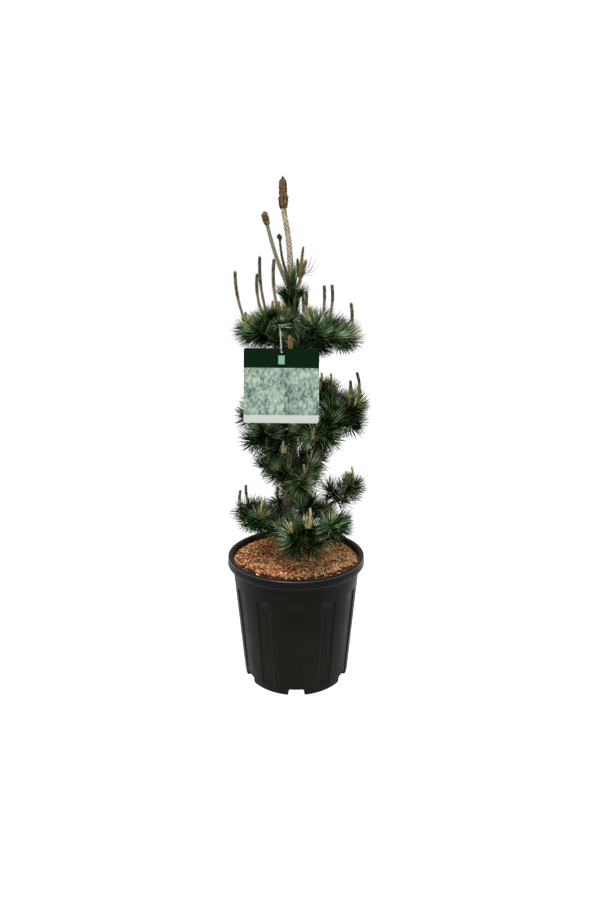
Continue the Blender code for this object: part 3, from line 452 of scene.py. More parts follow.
def planTree():
    # boughs, stems, shoots and candles of every mass, with the same tests as the solids
    shares = np.linspace(0, 1, 7)[:, None]
    points, radii = trunkLine()
    addLimb(points, radii, "trunk")
    boughs = {name: planBough(spaces[name]) for name in tree["masses"]}
    for bough in boughs.values():
        if bough["long"]:
            addLimb(bough["points"], bough["radii"], "boughs")
    for name, values in tree["topShoots"].items():
        line, sizes = topShootLine(name)
        addLimb(line, sizes, name)
        heading = unit(line[-1] - line[-2])
        addLimb([line[-1], line[-1] + heading * values[5]], [values[6] * 1.3] * 2, name)
    tie = tieLine(label)
    addLimb(np.vstack([tie, tie[:1]]), [label["tieRadius"]] * (len(tie) + 1), "tie")
    x, y, z = label["centre"]
    for height in np.linspace(-0.5, 0.5, 12) * label["height"] + z:
        addLimb([np.array([x + s * label["width"] / 2, y, height]) for s in (-1, 1)], [0.004] * 2, "label")
    middle, tip = heldShoot()
    labelPath = shootPath(boughs[label["mass"]]["points"][-1], middle, tip)
    addLimb(labelPath, [tree["shootTipRadius"]] * len(labelPath), label["mass"])
    candles = [(np.array([a, b, c]), lean, length) for a, b, c, length, lean in tree["candles"]]
    for foot, lean, length in candles:
        owner = next((name for name in spaces if inCell(name, foot)), None)
        addLimb([foot, foot + [lean, 0, length]], [tree["candleRadius"] * 1.2] * 2, owner)
    plan = []
    for name, bough in boughs.items():
        space = spaces[name]
        entry = bough["points"][-1 if bough["long"] else 0]
        heading = bough["heading"] if bough["long"] else unit(space["centre"] - entry)
        foot = entry + heading * tree["seatGap"]
        end = foot + heading * (np.linalg.norm(space["centre"] - foot) + space["radius"] * tree["stemEnd"])
        shoots = []
        for start, tip, lean, length, given in shootsOf(name, foot, end, candles):
            top = tip + [lean, 0, length]
            stretch = tip + (top - tip) * shares
            gap = tree["candleRadius"] + tree["limbMargin"]
            bare = length and (given or (inCell(name, top) and (limbDistance(stretch, name) >= gap).all()))
            middle = start + (tip - start) * 0.55 - [0, 0, np.linalg.norm(tip - start) * 0.10]
            path = shootPath(start, middle, tip)
            tested = np.concatenate([a + (b - a) * shares for a, b in zip(path[1:], path[2:])])
            room = (limbDistance(tested, name) >= tree["shootTipRadius"] + tree["limbMargin"]).all()
            if room and all(inCell(name, point) for point in path[2:]):
                shoots.append(shootRow(start, middle, tip, top if bare else None))
        if name == label["mass"]:
            shoots.append(shootRow(foot + (end - foot) * 0.9, *heldShoot(), held=True))
        plan.append({"name": name, "bough": bough, "foot": foot, "end": end, "shoots": shoots})
    return plan


plan = planTree()
print("plan:", len(plan), "masses,", sum(len(mass["shoots"]) for mass in plan), "shoots")


# Finishes

def barkMaterial(name, dark, middle, light, grain):
    # Rough bark, mixed from two noises: it gives the eye flaky, dry, light-catching ridges
    made = newMaterial(name, middle, 0.86, Specular_IOR_Level=0.25)
    links, shader, place = shaderOf(made)
    flat = addNode(links, "ShaderNodeMapping", {0: place}, Scale=(1.0, 1.0, 0.45)).outputs[0]
    flakes = noise(links, flat, grain, 6.0, 0.65)
    shade = colourRamp(links, flakes, [(0.34, dark), (0.50, middle), (0.66, light)])
    links.links.new(shade, shader.inputs["Base Color"])
    addBumps(links, shader, flakes, 0.7, 0.0006)
    return made


# Bark of the trunk and boughs, brown-grey with pale flakes, and the leader's smooth tan wood: dry and matt
barkOld = barkMaterial("pine_bark", "#2e251c", "#6f5a45", "#ab9474", 420.0)
barkTwig = barkMaterial("twig_bark", "#33291c", "#5d4c33", "#84704c", 700.0)
barkLeader = barkMaterial("leader_bark", "#978770", "#bcac93", "#d5c9b3", 600.0)
barkOlive = barkMaterial("side_leader_bark", "#6b6650", "#8b8468", "#aca386", 600.0)
barkDark = barkMaterial("dry_shoot_bark", "#1e1e17", "#37372b", "#55533f", 600.0)
scarBrown = newMaterial("needle_scar", "#38261a", 0.90)

# Needles, waxy and dry, in plain colours from shaded to white-banded: each gives the eye one crisp stroke
needleMaterials = [
    newMaterial(name, colour, roughness, Specular_IOR_Level=gloss)
    for name, colour, roughness, gloss in (
        ("needle_shaded", "#060b06", 0.70, 0.0), ("needle_dark_green", "#1a2a13", 0.62, 0.05),
        ("needle_green", "#3a572e", 0.58, 0.10), ("needle_blue_green", "#6f8d5d", 0.56, 0.14),
        ("needle_white_band", "#c3cdb2", 0.60, 0.14), ("needle_new_growth", "#70782f", 0.56, 0.12),
    )
]

# Buds and candles, dry papery scales: they give a dull speckle of tan, olive and dark brown
candleStem, candleCap, candleFresh, candlePale, scaleTan, scaleRust, scaleDark, scaleAmber, budOlive = (
    newMaterial(name, colour, roughness, Specular_IOR_Level=0.2)
    for name, colour, roughness in (
        ("candle_stem", "#948a64", 0.85), ("candle_cap", "#544f3a", 0.88), ("candle_fresh", "#8f7f49", 0.85),
        ("candle_pale", "#b0a473", 0.85), ("scale_tan", "#80683f", 0.88), ("scale_rust", "#4f3b25", 0.88),
        ("scale_dark", "#272015", 0.90), ("scale_amber", "#6f5232", 0.88), ("bud_olive", "#726a38", 0.85),
    )
)


# Pot

pot = {
    "height": 0.258, "rimRadius": 0.141, "rimDepth": 0.0165, "collarRadius": 0.1325, "baseRadius": 0.1105,
    "wall": 0.0022, "flutes": 12, "fluteDepth": 0.0026, "fluteFloorDeg": 5.7, "fluteEdgeDeg": 7.1,
    "fluteTop": 0.200, "fluteLip": 0.0030, "fluteFoot": 0.030, "footRound": 0.0035,
    "notches": 6, "notchWidth": 0.041, "notchHeight": 0.014, "notchDepth": 0.026, "notchWall": 0.0020,
    "notchNarrowing": 0.24, "frontDeg": -90.0,
}


def potWall(z):
    # the outer wall's radius at a height, between the flutes
    slope = (pot["collarRadius"] - pot["baseRadius"]) / (pot["height"] - pot["footRound"])
    return pot["baseRadius"] + slope * (z - pot["footRound"])


def softStep(low, high, value):
    # 3t^2 - 2t^3, where t runs from 0 to 1 between the two limits
    t = np.clip((value - low) / (high - low), 0, 1)
    return t * t * (3 - 2 * t)


def potProfile():
    # radius, height and 1 for the inner side: under the base, up the wall, over the rim, and down inside
    height, wall, rim, top = pot["height"], pot["wall"], pot["rimRadius"], pot["height"] - pot["wall"]
    back, foot = pot["baseRadius"] - pot["notchDepth"], pot["footRound"]
    arc = np.radians(np.linspace(0, 90, 5))
    rows = [(0.0005, 0.0), (0.05, 0.0), (back - 0.0001, 0.0), (back + 0.0001, 0.0), (back + 0.01, 0.0)]
    rows += [(pot["baseRadius"] - foot + foot * math.sin(a), foot - foot * math.cos(a)) for a in arc]
    low, high, lip = pot["fluteFoot"], pot["fluteTop"], pot["fluteLip"]
    heights = [*np.linspace(foot, low, 9)[1:], *np.linspace(low, high, 12)[1:]]
    heights += [*np.linspace(high, high + lip * 1.2, 5)[1:], 0.225, top - 0.003]
    rows += [(potWall(z), z) for z in heights]
    rows += [(pot["collarRadius"] + 0.0006, top - 0.0008), (pot["collarRadius"] + 0.003, top)]
    rows += [(rim - wall - 0.0022, top), (rim - wall - 0.0008, top - 0.0008), (rim - wall, top - 0.003)]
    rows += [(rim - wall, height - pot["rimDepth"] + 0.0004), (rim - wall + 0.0005, height - pot["rimDepth"])]
    rows += [(rim - 0.0007, height - pot["rimDepth"]), (rim, height - pot["rimDepth"] + 0.0009)]
    rows += [(rim - 0.0006, height - 0.0022)]
    rows += [(rim - 0.0024 + 0.0018 * math.cos(a), height - 0.0018 + 0.0018 * math.sin(a)) for a in arc[1:]]
    inner = pot["collarRadius"] - wall
    rows += [(inner + 0.0034, height), (inner + 0.0014, height - 0.0004), (inner + 0.0004, height - 0.0016)]
    outside = [(r, z, 0) for r, z in rows]
    heights = [0.246, 0.225, *np.linspace(high + lip, low, 8), 0.012, wall]
    inside = [(potWall(z) - wall, z, 1) for z in heights]
    inside += [(radius, wall, 1) for radius in (back + 0.004, 0.05, 0.0005)]
    return np.array(outside + inside)


def makePot():
    profile = potProfile()
    pitch = 2 * math.pi / pot["flutes"]
    halfNotch = pot["notchWidth"] / 2 / pot["baseRadius"]
    narrowNotch = halfNotch * (1 - pot["notchNarrowing"])
    edge = math.radians((pot["fluteFloorDeg"] + pot["fluteEdgeDeg"]) / 2)
    # the columns of one flute lie closer at the flute's edges, and two of them bound the drain notch
    half = np.sort(np.concatenate([
        np.linspace(0, pitch / 2, 13)[1:-1],
        edge + np.linspace(-0.022, 0.022, 7),
        [narrowNotch - 0.0005, halfNotch],
    ]))
    columns = np.concatenate([-half[::-1], [0.0], half, [pitch / 2]])
    turn = (np.arange(pot["flutes"])[:, None] * pitch + columns).ravel()
    offset = np.tile(columns, pot["flutes"])
    withNotch = np.arange(pot["flutes"]) % (pot["flutes"] // pot["notches"]) == 0
    notched = np.repeat(withNotch, len(columns)) & (np.abs(offset) < narrowNotch)
    radius, z, inner = (profile[:, k][:, None] for k in range(3))
    sunk = 1 - softStep(edge - 0.014, edge + 0.014, np.abs(offset))[None]
    rising = softStep(pot["footRound"], pot["fluteFoot"], z)
    ending = 1 - softStep(pot["fluteTop"] - 0.001, pot["fluteTop"] + pot["fluteLip"], z)
    depth = pot["fluteDepth"] * sunk * rising * ending
    radius = radius - depth * (radius > pot["baseRadius"] - 0.01)
    # in a notch the underside and the wall's foot are lifted to the notch's ceiling
    behind = pot["baseRadius"] - pot["notchDepth"] - inner * pot["notchWall"]
    ceiling = pot["notchHeight"] + inner * pot["notchWall"]
    height = np.where(notched[None] & (radius > behind), np.maximum(z, ceiling), z)
    angle = turn + math.radians(pot["frontDeg"])
    points = np.stack([radius * np.cos(angle), radius * np.sin(angle), height + 0 * angle], -1)
    rows, around = points.shape[:2]
    points = np.concatenate([points.reshape(-1, 3), [[0, 0, 0], [0, 0, pot["wall"]]]])
    quads, fans = tubeFaces(rows, around)
    # the rim's outer edges, worn smooth
    level = (profile[:-1, 1] + profile[1:, 1]) / 2 - pot["height"]
    outer = (profile[:-1, 0] + profile[1:, 0]) / 2 > pot["rimRadius"] - 0.0020
    edges = outer & ((level > -0.0019) | (np.abs(level + pot["rimDepth"]) < 0.0006))
    slots = np.concatenate([np.repeat(edges, around), np.zeros(len(fans), bool)])
    makePiece(
        "nursery_pot", points, [quads, fans], [potBlack, potEdge], slots, replaced=["pot"], slot="pot_black",
    )


def potMaterial():
    # Moulded black polypropylene with a fine satin grain: it gives soft grey bands of light down the ribs
    made = newMaterial(
        "black_polypropylene", "#0c0c0b", 0.40, Specular_IOR_Level=0.06, Specular_Tint=(1.0, 1.0, 0.84, 1.0),
    )
    links, shader, place = shaderOf(made)
    dust = noise(links, place, 14.0, 4.0)
    rough = addNode(
        links, "ShaderNodeMapRange", {0: dust}, From_Min=0.35, From_Max=0.65, To_Min=0.36, To_Max=0.50,
    )
    links.links.new(rough.outputs[0], shader.inputs["Roughness"])
    tint = colourRamp(links, dust, [(0.35, "#0a0a08"), (0.70, "#11110e")])
    links.links.new(tint, shader.inputs["Base Color"])
    addBumps(links, shader, noise(links, place, 900.0, 3.0), 0.25, 0.0002)
    return made


potBlack = potMaterial()
# The same plastic polished by handling: it gives the rim a thin line of light
potEdge = newMaterial("polished_polypropylene", "#0c0c0b", 0.30, Specular_IOR_Level=0.55)
makePot()
print("pot made")


# Potting soil keeps its solid; the fine bark on it is laid chip by chip

mulch = {
    "top": 0.2482, "edgeDrop": 0.0022, "radius": 0.1285, "depth": 0.012, "rows": 44, "around": 120,
    # crumbs: waves over X and Y, each as radians per metre along both and its phase; half their height; how
    # far the bed lies below the chips
    "waves": ((900, 420, 0), (-610, 700, 1), (350, -1100, 2), (1200, 80, 4)), "crumb": 0.0003, "sunk": 0.0014,
    # chips: how many, least and greatest length, width and thickness, how far they are tumbled, their heights
    "chips": 6400, "long": (0.0026, 0.0078), "wide": (0.0013, 0.0030), "thick": (0.0008, 0.0017),
    "tumble": 0.42, "heights": (-0.0014, 0.0010), "kinds": (0.38, 0.24, 0.23, 0.15),
    # dark crescent in the shade of the front wall: radius, how far back its centre lies, its end, its share
    "shadeRadius": 0.1225, "shadeBack": 0.024, "shadeTo": -0.04, "shadeShare": 0.85,
}
# Damp peat, dull and dark brown
soil = newMaterial("potting_soil", "#2a1f18", 0.95)
frameNodes = {item.name: item for item in bpy.data.objects if item.type == "MESH"}
frameNodes["potting_soil"].data.materials.clear()
frameNodes["potting_soil"].data.materials.append(soil)

# Fine chipped pine bark, dry on top: it gives a warm speckle from tan to nearly black
barkChips = [
    newMaterial(name, colour, roughness, Specular_IOR_Level=0.2)
    for name, colour, roughness in (
        ("chip_orange", "#b97847", 0.90), ("chip_tan", "#e9c290", 0.90), ("chip_red_brown", "#864626", 0.90),
        ("chip_dark", "#3a2317", 0.92),
    )
]


def mulchTop(radius):
    # flat in the middle and falling towards the pot's wall
    drop = mulch["edgeDrop"]
    return mulch["top"] - np.interp(radius, [0, 0.03, 0.085, mulch["radius"]], [0, 0, drop * 0.4, drop])


def makeMulch():
    rng = np.random.default_rng(tree["seed"])
    rows, around = mulch["rows"], mulch["around"]
    radius = np.linspace(0.0005, mulch["radius"] - 0.0008, rows)
    angle = fullTurn(around)
    x, y = radius[:, None] * np.cos(angle), radius[:, None] * np.sin(angle)
    # a sum of plane waves with wavelengths of 5 to 7 mm
    waves = sum(np.sin(x * a + y * b + c) for a, b, c in mulch["waves"])
    z = mulchTop(radius)[:, None] + mulch["crumb"] * waves - mulch["sunk"]
    upper = np.stack([x, y, z], -1)[::-1]
    lower = upper[:1] * [1, 1, 0] + [0, 0, mulch["top"] - mulch["depth"]]
    points = np.concatenate([lower, upper]).reshape(-1, 3)
    ends = [[0, 0, mulch["top"] - mulch["depth"]], [0, 0, float(z[0, 0])]]
    quads, fans = tubeFaces(rows + 1, around)
    makePiece(
        "mulch_bed", np.concatenate([points, ends]), [quads, fans], [barkChips[2]],
        replaced=["bark_mulch"], slot="mulch_bark",
    )
    count = mulch["chips"]
    size = np.stack([rng.uniform(*mulch[side], count) for side in ("long", "wide", "thick")], -1)
    out = mulch["radius"] * np.sqrt(rng.uniform(0, 1, count))
    turn = rng.uniform(0, 2 * np.pi, count)
    corners = np.array([(a, b, c) for c in (-0.5, 0.5) for b in (-0.5, 0.5) for a in (-0.5, 0.5)])
    corners = corners * np.where(corners[:, :1] > 0, [1, 0.62, 0.7], [1, 1, 1])
    boxes = corners[None] * size[:, None]
    # each chip is rolled, pitched and turned by its own small angles
    roll, pitch = rng.normal(0, mulch["tumble"], (2, count, 1))
    x, y, z = boxes[..., 0], boxes[..., 1], boxes[..., 2]
    y, z = y * np.cos(roll) - z * np.sin(roll), y * np.sin(roll) + z * np.cos(roll)
    x, z = x * np.cos(pitch) - z * np.sin(pitch), x * np.sin(pitch) + z * np.cos(pitch)
    yaw = rng.uniform(0, 2 * np.pi, (count, 1))
    x, y = x * np.cos(yaw) - y * np.sin(yaw), x * np.sin(yaw) + y * np.cos(yaw)
    level = mulchTop(out) + rng.uniform(*mulch["heights"], count)
    middle = np.stack([out * np.cos(turn), out * np.sin(turn), level], -1)
    points = np.stack([x, y, z], -1) + middle[:, None]
    # those that would cut the pot's wall are drawn in
    beyond = np.maximum(0, np.hypot(points[..., 0], points[..., 1]).max(1) - mulch["radius"] - 0.0006)
    points[..., :2] *= (1 - beyond / np.maximum(out, 0.01))[:, None, None]
    faces = np.array([(0, 2, 3, 1), (4, 5, 7, 6), (0, 1, 5, 4), (2, 6, 7, 3), (0, 4, 6, 2), (1, 3, 7, 5)])
    quads = (np.arange(count)[:, None, None] * 8 + faces).reshape(-1, 4)
    # dark ones among the others everywhere, and more tan ones towards the right
    kinds = rng.choice(len(barkChips), count, p=mulch["kinds"])
    tan = (kinds == 2) & (rng.uniform(-0.5, 1.0, count) < np.cos(turn) * out / mulch["radius"])
    kinds = np.where(tan, 1, kinds)
    # darker in the shade of the wall in front
    beyond = np.hypot(middle[:, 0], middle[:, 1] - mulch["shadeBack"]) > mulch["shadeRadius"]
    shaded = beyond & (middle[:, 1] < mulch["shadeTo"]) & (rng.uniform(size=count) < mulch["shadeShare"])
    kinds = np.repeat(np.where(shaded, 3, kinds), len(faces))
    makePiece("bark_chips", points.reshape(-1, 3), [quads], barkChips, kinds, smooth=False, slot="mulch_bark")


makeMulch()
print("mulch made")


# Trunk, boughs, stems and twigs

limbLooks = {
    # rows along and points round; bark plates round the limb and how deep the gaps between them are cut
    "trunkRows": 300, "trunkAround": 26, "trunkPlates": (9, 0.14), "boughRows": 40, "boughAround": 12,
    "boughPlates": (6, 0.16), "twigRows": 16, "twigAround": 7,
    # smooth young wood from here up, and the needle scars on it: how many, their length, width and lift
    "leaderFrom": 0.796, "scars": 165, "scarSize": (0.0044, 0.0031, 0.0015),
    # radius at the foot and at the end, and the share left of it where the tie hangs
    "stem": (0.0030, 0.0022), "twig": (0.0014, 0.0021), "heldThin": 0.62,
}


def barkRelief(rows, around, plates, depth, seed):
    # long plates: ridged waves along the stem and round it, bent by a slower wave
    t = np.arange(rows)[:, None]
    a = fullTurn(around)[None]
    bend = 0.9 * np.sin(t * 0.11 + 2 * a + seed) + 0.6 * np.sin(t * 0.053 - a + 2 * seed)
    ridges = 1 - np.abs(np.sin(plates * a / 2 + bend + seed)) ** 0.6
    cracks = 1 - np.abs(np.sin(t * 0.36 + 1.5 * np.sin(3 * a + seed) + bend)) ** 0.5
    return -depth * (0.7 * ridges + 0.5 * cracks) + depth * 0.3 * np.sin(t * 0.8 + 5 * a + seed)


def denser(path, radii, count):
    # the same line through more points, spaced evenly along its length
    along = np.concatenate([[0], np.cumsum(np.linalg.norm(np.diff(path, axis=0), axis=1))])
    want = np.linspace(0, along[-1], count)
    return np.stack([np.interp(want, along, path[:, k]) for k in range(3)], -1), np.interp(want, along, radii)


def spotsAlong(path, share, angle):
    # places at shares of a path's length, each with its own bearing: the point below each, how far it lies on
    # towards the next, the place, the way along and the way out
    ways, sideA, sideB = pathFrames(path)
    at = share * (len(path) - 1)
    low = np.minimum(at.astype(int), len(path) - 2)
    on = (at - low)[:, None]
    around = np.cos(angle)[:, None] * sideA[low] + np.sin(angle)[:, None] * sideB[low]
    return low, on, path[low] * (1 - on) + path[low + 1] * on, ways[low], around


def scales(heap, path, radii, count, size, kinds, rng=None):
    # small flat-diamond scales in a golden-angle spiral, each with its tip raised
    n = np.arange(count)
    low, on, centre, way, around = spotsAlong(path, (n + 0.5) / count, golden * n)
    lower, upper = np.asarray(radii)[low][:, None], np.asarray(radii)[low + 1][:, None]
    slope = (upper - lower) / np.linalg.norm(path[low + 1] - path[low], axis=1)[:, None]
    up = unit(way + around * slope)
    right = np.cross(up, around)
    long, wide, lift = size
    vary = 1.0 if rng is None else rng.uniform(0.8, 1.2, (count, 1))
    base = centre + around * (lower * (1 - on) + upper * on)
    points = np.stack([
        base - up * long * 0.5 * vary,
        base + right * wide * 0.5 * vary + around * lift * 0.2,
        base + up * long * 0.55 * vary + around * lift * 1.1,
        base - right * wide * 0.5 * vary + around * lift * 0.2,
        base + around * lift,
        base - around * lift * 0.8,
    ], 1)
    faces = np.array([(0, 1, 4), (1, 2, 4), (2, 3, 4), (3, 0, 4), (1, 0, 5), (2, 1, 5), (3, 2, 5), (0, 3, 5)])
    tris = (n[:, None, None] * 6 + faces).reshape(-1, 3)
    kind = np.array(kinds)[n % len(kinds) if rng is None else rng.integers(0, len(kinds), count)]
    heap.add(points.reshape(-1, 3), np.zeros((0, 4), int), tris, triSlot=np.repeat(kind, 8))


def addTube(heap, path, radii, around, relief=None, slot=0):
    quads, fans = tubeFaces(len(path), around)
    slots = np.repeat(slot, around) if np.ndim(slot) else slot
    heap.add(tubePoints(path, radii, around, relief), quads, fans, quadSlot=slots)


def makeTrunk():
    path, radii = trunkLine(16)
    keep = path[:, 2] > mulch["top"] - 0.004
    path, radii = denser(path[keep], radii[keep], limbLooks["trunkRows"])
    heap = Heap()
    young = softStep(0.72, 0.80, path[:, 2])[:, None]
    around = limbLooks["trunkAround"]
    relief = barkRelief(len(path), around, *limbLooks["trunkPlates"], 1.0) * (1 - 0.85 * young)
    slots = (path[:-1, 2] > limbLooks["leaderFrom"]).astype(int)
    addTube(heap, path, radii * (1 + 0.05 * (1 - young[:, 0])), around, relief, slots)
    first = int(np.argmax(slots)) - 4
    rng = np.random.default_rng(3)
    scales(heap, path[first:], radii[first:], limbLooks["scars"], limbLooks["scarSize"], (2,), rng)
    heap.piece("trunk_bark", [barkOld, barkLeader, scarBrown], replaced=["trunk"], slot="bark")


def makeBoughs():
    heap = Heap()
    rows, around = limbLooks["boughRows"], limbLooks["boughAround"]
    for n, mass in enumerate(plan):
        bough = mass["bough"]
        if bough["long"]:
            line = bezier(bough["points"][0], bough["middle"], bough["points"][-1], rows)
            radii = bough["radii"][0] + (bough["radii"][-1] - bough["radii"][0]) * np.linspace(0, 1, rows)
            addTube(heap, line, radii, around, barkRelief(rows, around, *limbLooks["boughPlates"], n))
        stem = mass["foot"] + (mass["end"] - mass["foot"]) * np.linspace(-0.02, 1, rows)[:, None]
        relief = barkRelief(rows, around, *limbLooks["boughPlates"], n + 0.5)
        addTube(heap, stem, np.linspace(*limbLooks["stem"], rows), around, relief)
    nodes = [f"bough_{mass['name']}" for mass in plan if mass["bough"]["long"]]
    heap.piece("bough_bark", [barkOld], replaced=nodes, slot="bark")


def shootLine(shoot, count=30):
    # from the stem to the shoot's tip, and its radius
    path = bezier(shoot["start"], shoot["middle"], shoot["tip"], count)
    return path, np.linspace(*limbLooks["twig"], count)


def makeTwigs():
    heap = Heap()
    for mass in plan:
        for shoot in mass["shoots"]:
            path, radii = shootLine(shoot, limbLooks["twigRows"])
            thin = limbLooks["heldThin"] if shoot["held"] else 1.0
            addTube(heap, path, radii * thin, limbLooks["twigAround"])
    heap.piece("twigs", [barkTwig], slot="bark")


makeTrunk()
makeBoughs()
makeTwigs()
print("limbs made")


# Needles, five to a bundle, in brushes round the outer part of each shoot

needles = {
    # bundles on a shoot and needles in each; where they begin; length; tilts in degrees at foot and tip
    "bundles": 40, "perBundle": 5, "from": 0.22, "length": 0.042, "tiltLow": 74, "tiltHigh": 24,
    # radius; how far a bundle spreads; how far a needle bows; what it keeps clear of the limbs
    "radius": 0.00056, "spread": 0.23, "bow": 0.055, "clear": 0.0010,
    # needles round the shoot that the tie hangs on, against the usual length
    "heldShort": 0.60,
    # the masses that are darker than the rest
    "dim": ("low_left", "low_front", "mid_right", "mid_front_left", "mid_front_right", "mid_left"),
    # bundles against the usual number: fewer in the open masses, where the sky shows through
    "density": {
        "mid_right": 1.38, "mid_front_right": 1.20, "mid_front_left": 1.15, "waist_front": 1.18,
        "waist_left": 0.70, "waist_right": 0.62, "waist_back": 0.62, "low_left": 0.95, "low_right": 0.66,
        "low_back_right": 0.62, "low_back_left": 0.62, "low_inner_right": 0.80, "up_right": 0.92,
        "up_left": 0.92, "up_front_left": 0.94,
    },
    # shares of the needle colours, from shaded to blue-green, among the bundles of a dark, a green and a pale
    # spray
    "mixes": ((0.40, 0.27, 0.18, 0.15), (0.26, 0.24, 0.25, 0.25), (0.16, 0.20, 0.28, 0.36)),
    # how often a shoot is dark, green or pale, in a dim mass and in the others
    "dimShares": (0.75, 0.20, 0.05), "shares": (0.25, 0.45, 0.30),
}
# The sleeve round the trunk's neck: its axis in X, how far out its bundles start, its reach outwards and up;
# two rings, each as lowest and highest bundle, number of bundles, tilt in degrees at both, and colour mix
tuft = {
    "axis": -0.0080, "start": 0.0050, "reach": 0.074, "top": 0.846,
    "rings": ((0.716, 0.773, 150, 8, 66, 0), (0.774, 0.802, 30, 10, 20, 2)),
}
# The long loose needles beside the short group of buds: how far out and up from its foot they start; none
# reaches left of the last value
loose = {
    "perBundle": 1, "radius": 0.00042, "bow": 0.16, "length": 0.050,
    "start": 0.004, "lift": 0.002, "from": 0.006,
    "turns": (-60, -25, 5, 40, -45, 15, -10, 30, -35, 50), "tilts": (34, 46, 58, 40, 68, 28, 72, 50, 52, 62),
}
tiers = ("low", "waist", "mid", "up", "top")


def growNeedles(
    heap, rng, base, way, around, tilt, length, inside, owner, mix, young=None, shade=0, shape=needles,
):
    # bundles at given bases: each needle is a three-sided spike bent once at its middle
    n, each, radius, bow = len(base), shape["perBundle"], shape["radius"], shape["bow"]
    out = way * np.cos(tilt)[:, None] + around * np.sin(tilt)[:, None]
    side = unit(np.cross(out, way))
    other = np.cross(out, side)
    turn = rng.uniform(0, 2 * np.pi, (n, 1)) + np.arange(each) * 2 * np.pi / each
    fan = needles["spread"] * rng.uniform(0.5, 1.3, (n, each))
    away = np.cos(turn)[..., None] * side[:, None] + np.sin(turn)[..., None] * other[:, None]
    ways = unit(out[:, None] + away * fan[..., None])
    long = (length[:, None] * rng.uniform(0.72, 1.08, (n, 1)) * rng.uniform(0.90, 1.03, (n, each)))[..., None]
    axis = np.broadcast_to(way[:, None], ways.shape)
    start = np.broadcast_to(base[:, None], ways.shape)
    middle = start + ways * long * 0.5 - axis * long * bow * 0.5
    tip = start + ways * long + axis * long * bow
    start, middle, tip, ways, axis = (part.reshape(-1, 3) for part in (start, middle, tip, ways, axis))
    far = np.concatenate([middle + (tip - middle) * share for share in (0.0, 0.5, 1.0)])
    keep = (limbDistance(far, owner).reshape(3, -1) > needles["clear"]).all(0) & inside(tip)
    start, middle, tip, ways, axis = (part[keep] for part in (start, middle, tip, ways, axis))
    u = unit(np.cross(ways, axis))
    v = np.cross(ways, u)
    # three corners at -150, -30 and 90 degrees, so that the first side faces the shoot
    corner = np.radians([-150, -30, 90])
    ring = np.cos(corner)[None, :, None] * u[:, None] + np.sin(corner)[None, :, None] * v[:, None]
    foot, waist = start[:, None] + ring * radius * 0.85, middle[:, None] + ring * radius
    points = np.concatenate([foot, waist, tip[:, None]], 1)
    count = len(points)
    step = np.arange(count)[:, None, None] * 7
    quads = step + np.array([(0, 1, 4, 3), (1, 2, 5, 4), (2, 0, 3, 5)])
    tris = step + np.array([(3, 4, 6), (4, 5, 6), (5, 3, 6)])
    # a bundle's needles share one colour, give or take a step; their lower half is darker, as painted shade
    level = np.repeat(rng.choice(4, n, p=needles["mixes"][mix]) - shade, each)[keep]
    level = np.clip(level + rng.choice([-1, 0, 0, 1], count), 0, 3)
    darker, paler = np.maximum(level - 1, 0), level + 1
    if young is not None:
        level = np.where(np.repeat(young, each)[keep], 5, level)
    low, high = np.stack([level, darker, darker], 1).ravel(), np.stack([paler, level, level], 1).ravel()
    heap.add(points.reshape(-1, 3), quads.reshape(-1, 4), tris.reshape(-1, 3), low, high)
    return count


def growBrush(heap, rng, mass, shoot):
    # the bundles along one shoot, steep at its tip and wide open lower down
    space = spaces[mass["name"]]
    path, radii = shootLine(shoot)
    count = int(needles["bundles"] * needles["density"].get(mass["name"], 1.0))
    share = np.linspace(0, 1, count, endpoint=False) + 0.5 / count
    angle = golden * np.arange(count) + rng.uniform(0, 6.28)
    begin = needles["from"]
    low, _, base, way, around = spotsAlong(path, begin + (1 - begin) * share, angle)
    base = base + around * radii[low][:, None] * 0.7
    tilt = needles["tiltLow"] + (needles["tiltHigh"] - needles["tiltLow"]) * share**1.6
    tilt = np.radians(tilt + rng.normal(0, 5, count))
    length = needles["length"] * (0.90 + 0.12 * np.sin(np.pi * share))
    length = length * (needles["heldShort"] if shoot["held"] else 1.0)
    size = np.array([space["radius"], space["radius"], space["half"]]) + tree["fringe"] * 1.1

    def inside(points):
        if shoot["held"]:
            # clear above the card, and no farther forward than it hangs
            return (points[:, 2] > label["shoot"][2] - 0.022) & (points[:, 1] > label["shoot"][1] - 0.022)
        return (((points - space["centre"]) / size) ** 2).sum(-1) < 1.0

    mix = rng.choice(3, p=needles["dimShares" if mass["name"] in needles["dim"] else "shares"])
    young = (share > 0.80) & (rng.uniform(size=count) < 0.5) if shoot["top"] is not None else None
    # the inner bundles lie in shade, and so do those on the underside of a shoot or of the whole mass
    shade = (share < 0.45).astype(int) + (around[:, 2] < -0.35)
    shade = shade + (base[:, 2] < space["centre"][2] - space["half"] * rng.uniform(0.0, 0.7, count))
    return growNeedles(heap, rng, base, way, around, tilt, length, inside, mass["name"], mix, young, shade)


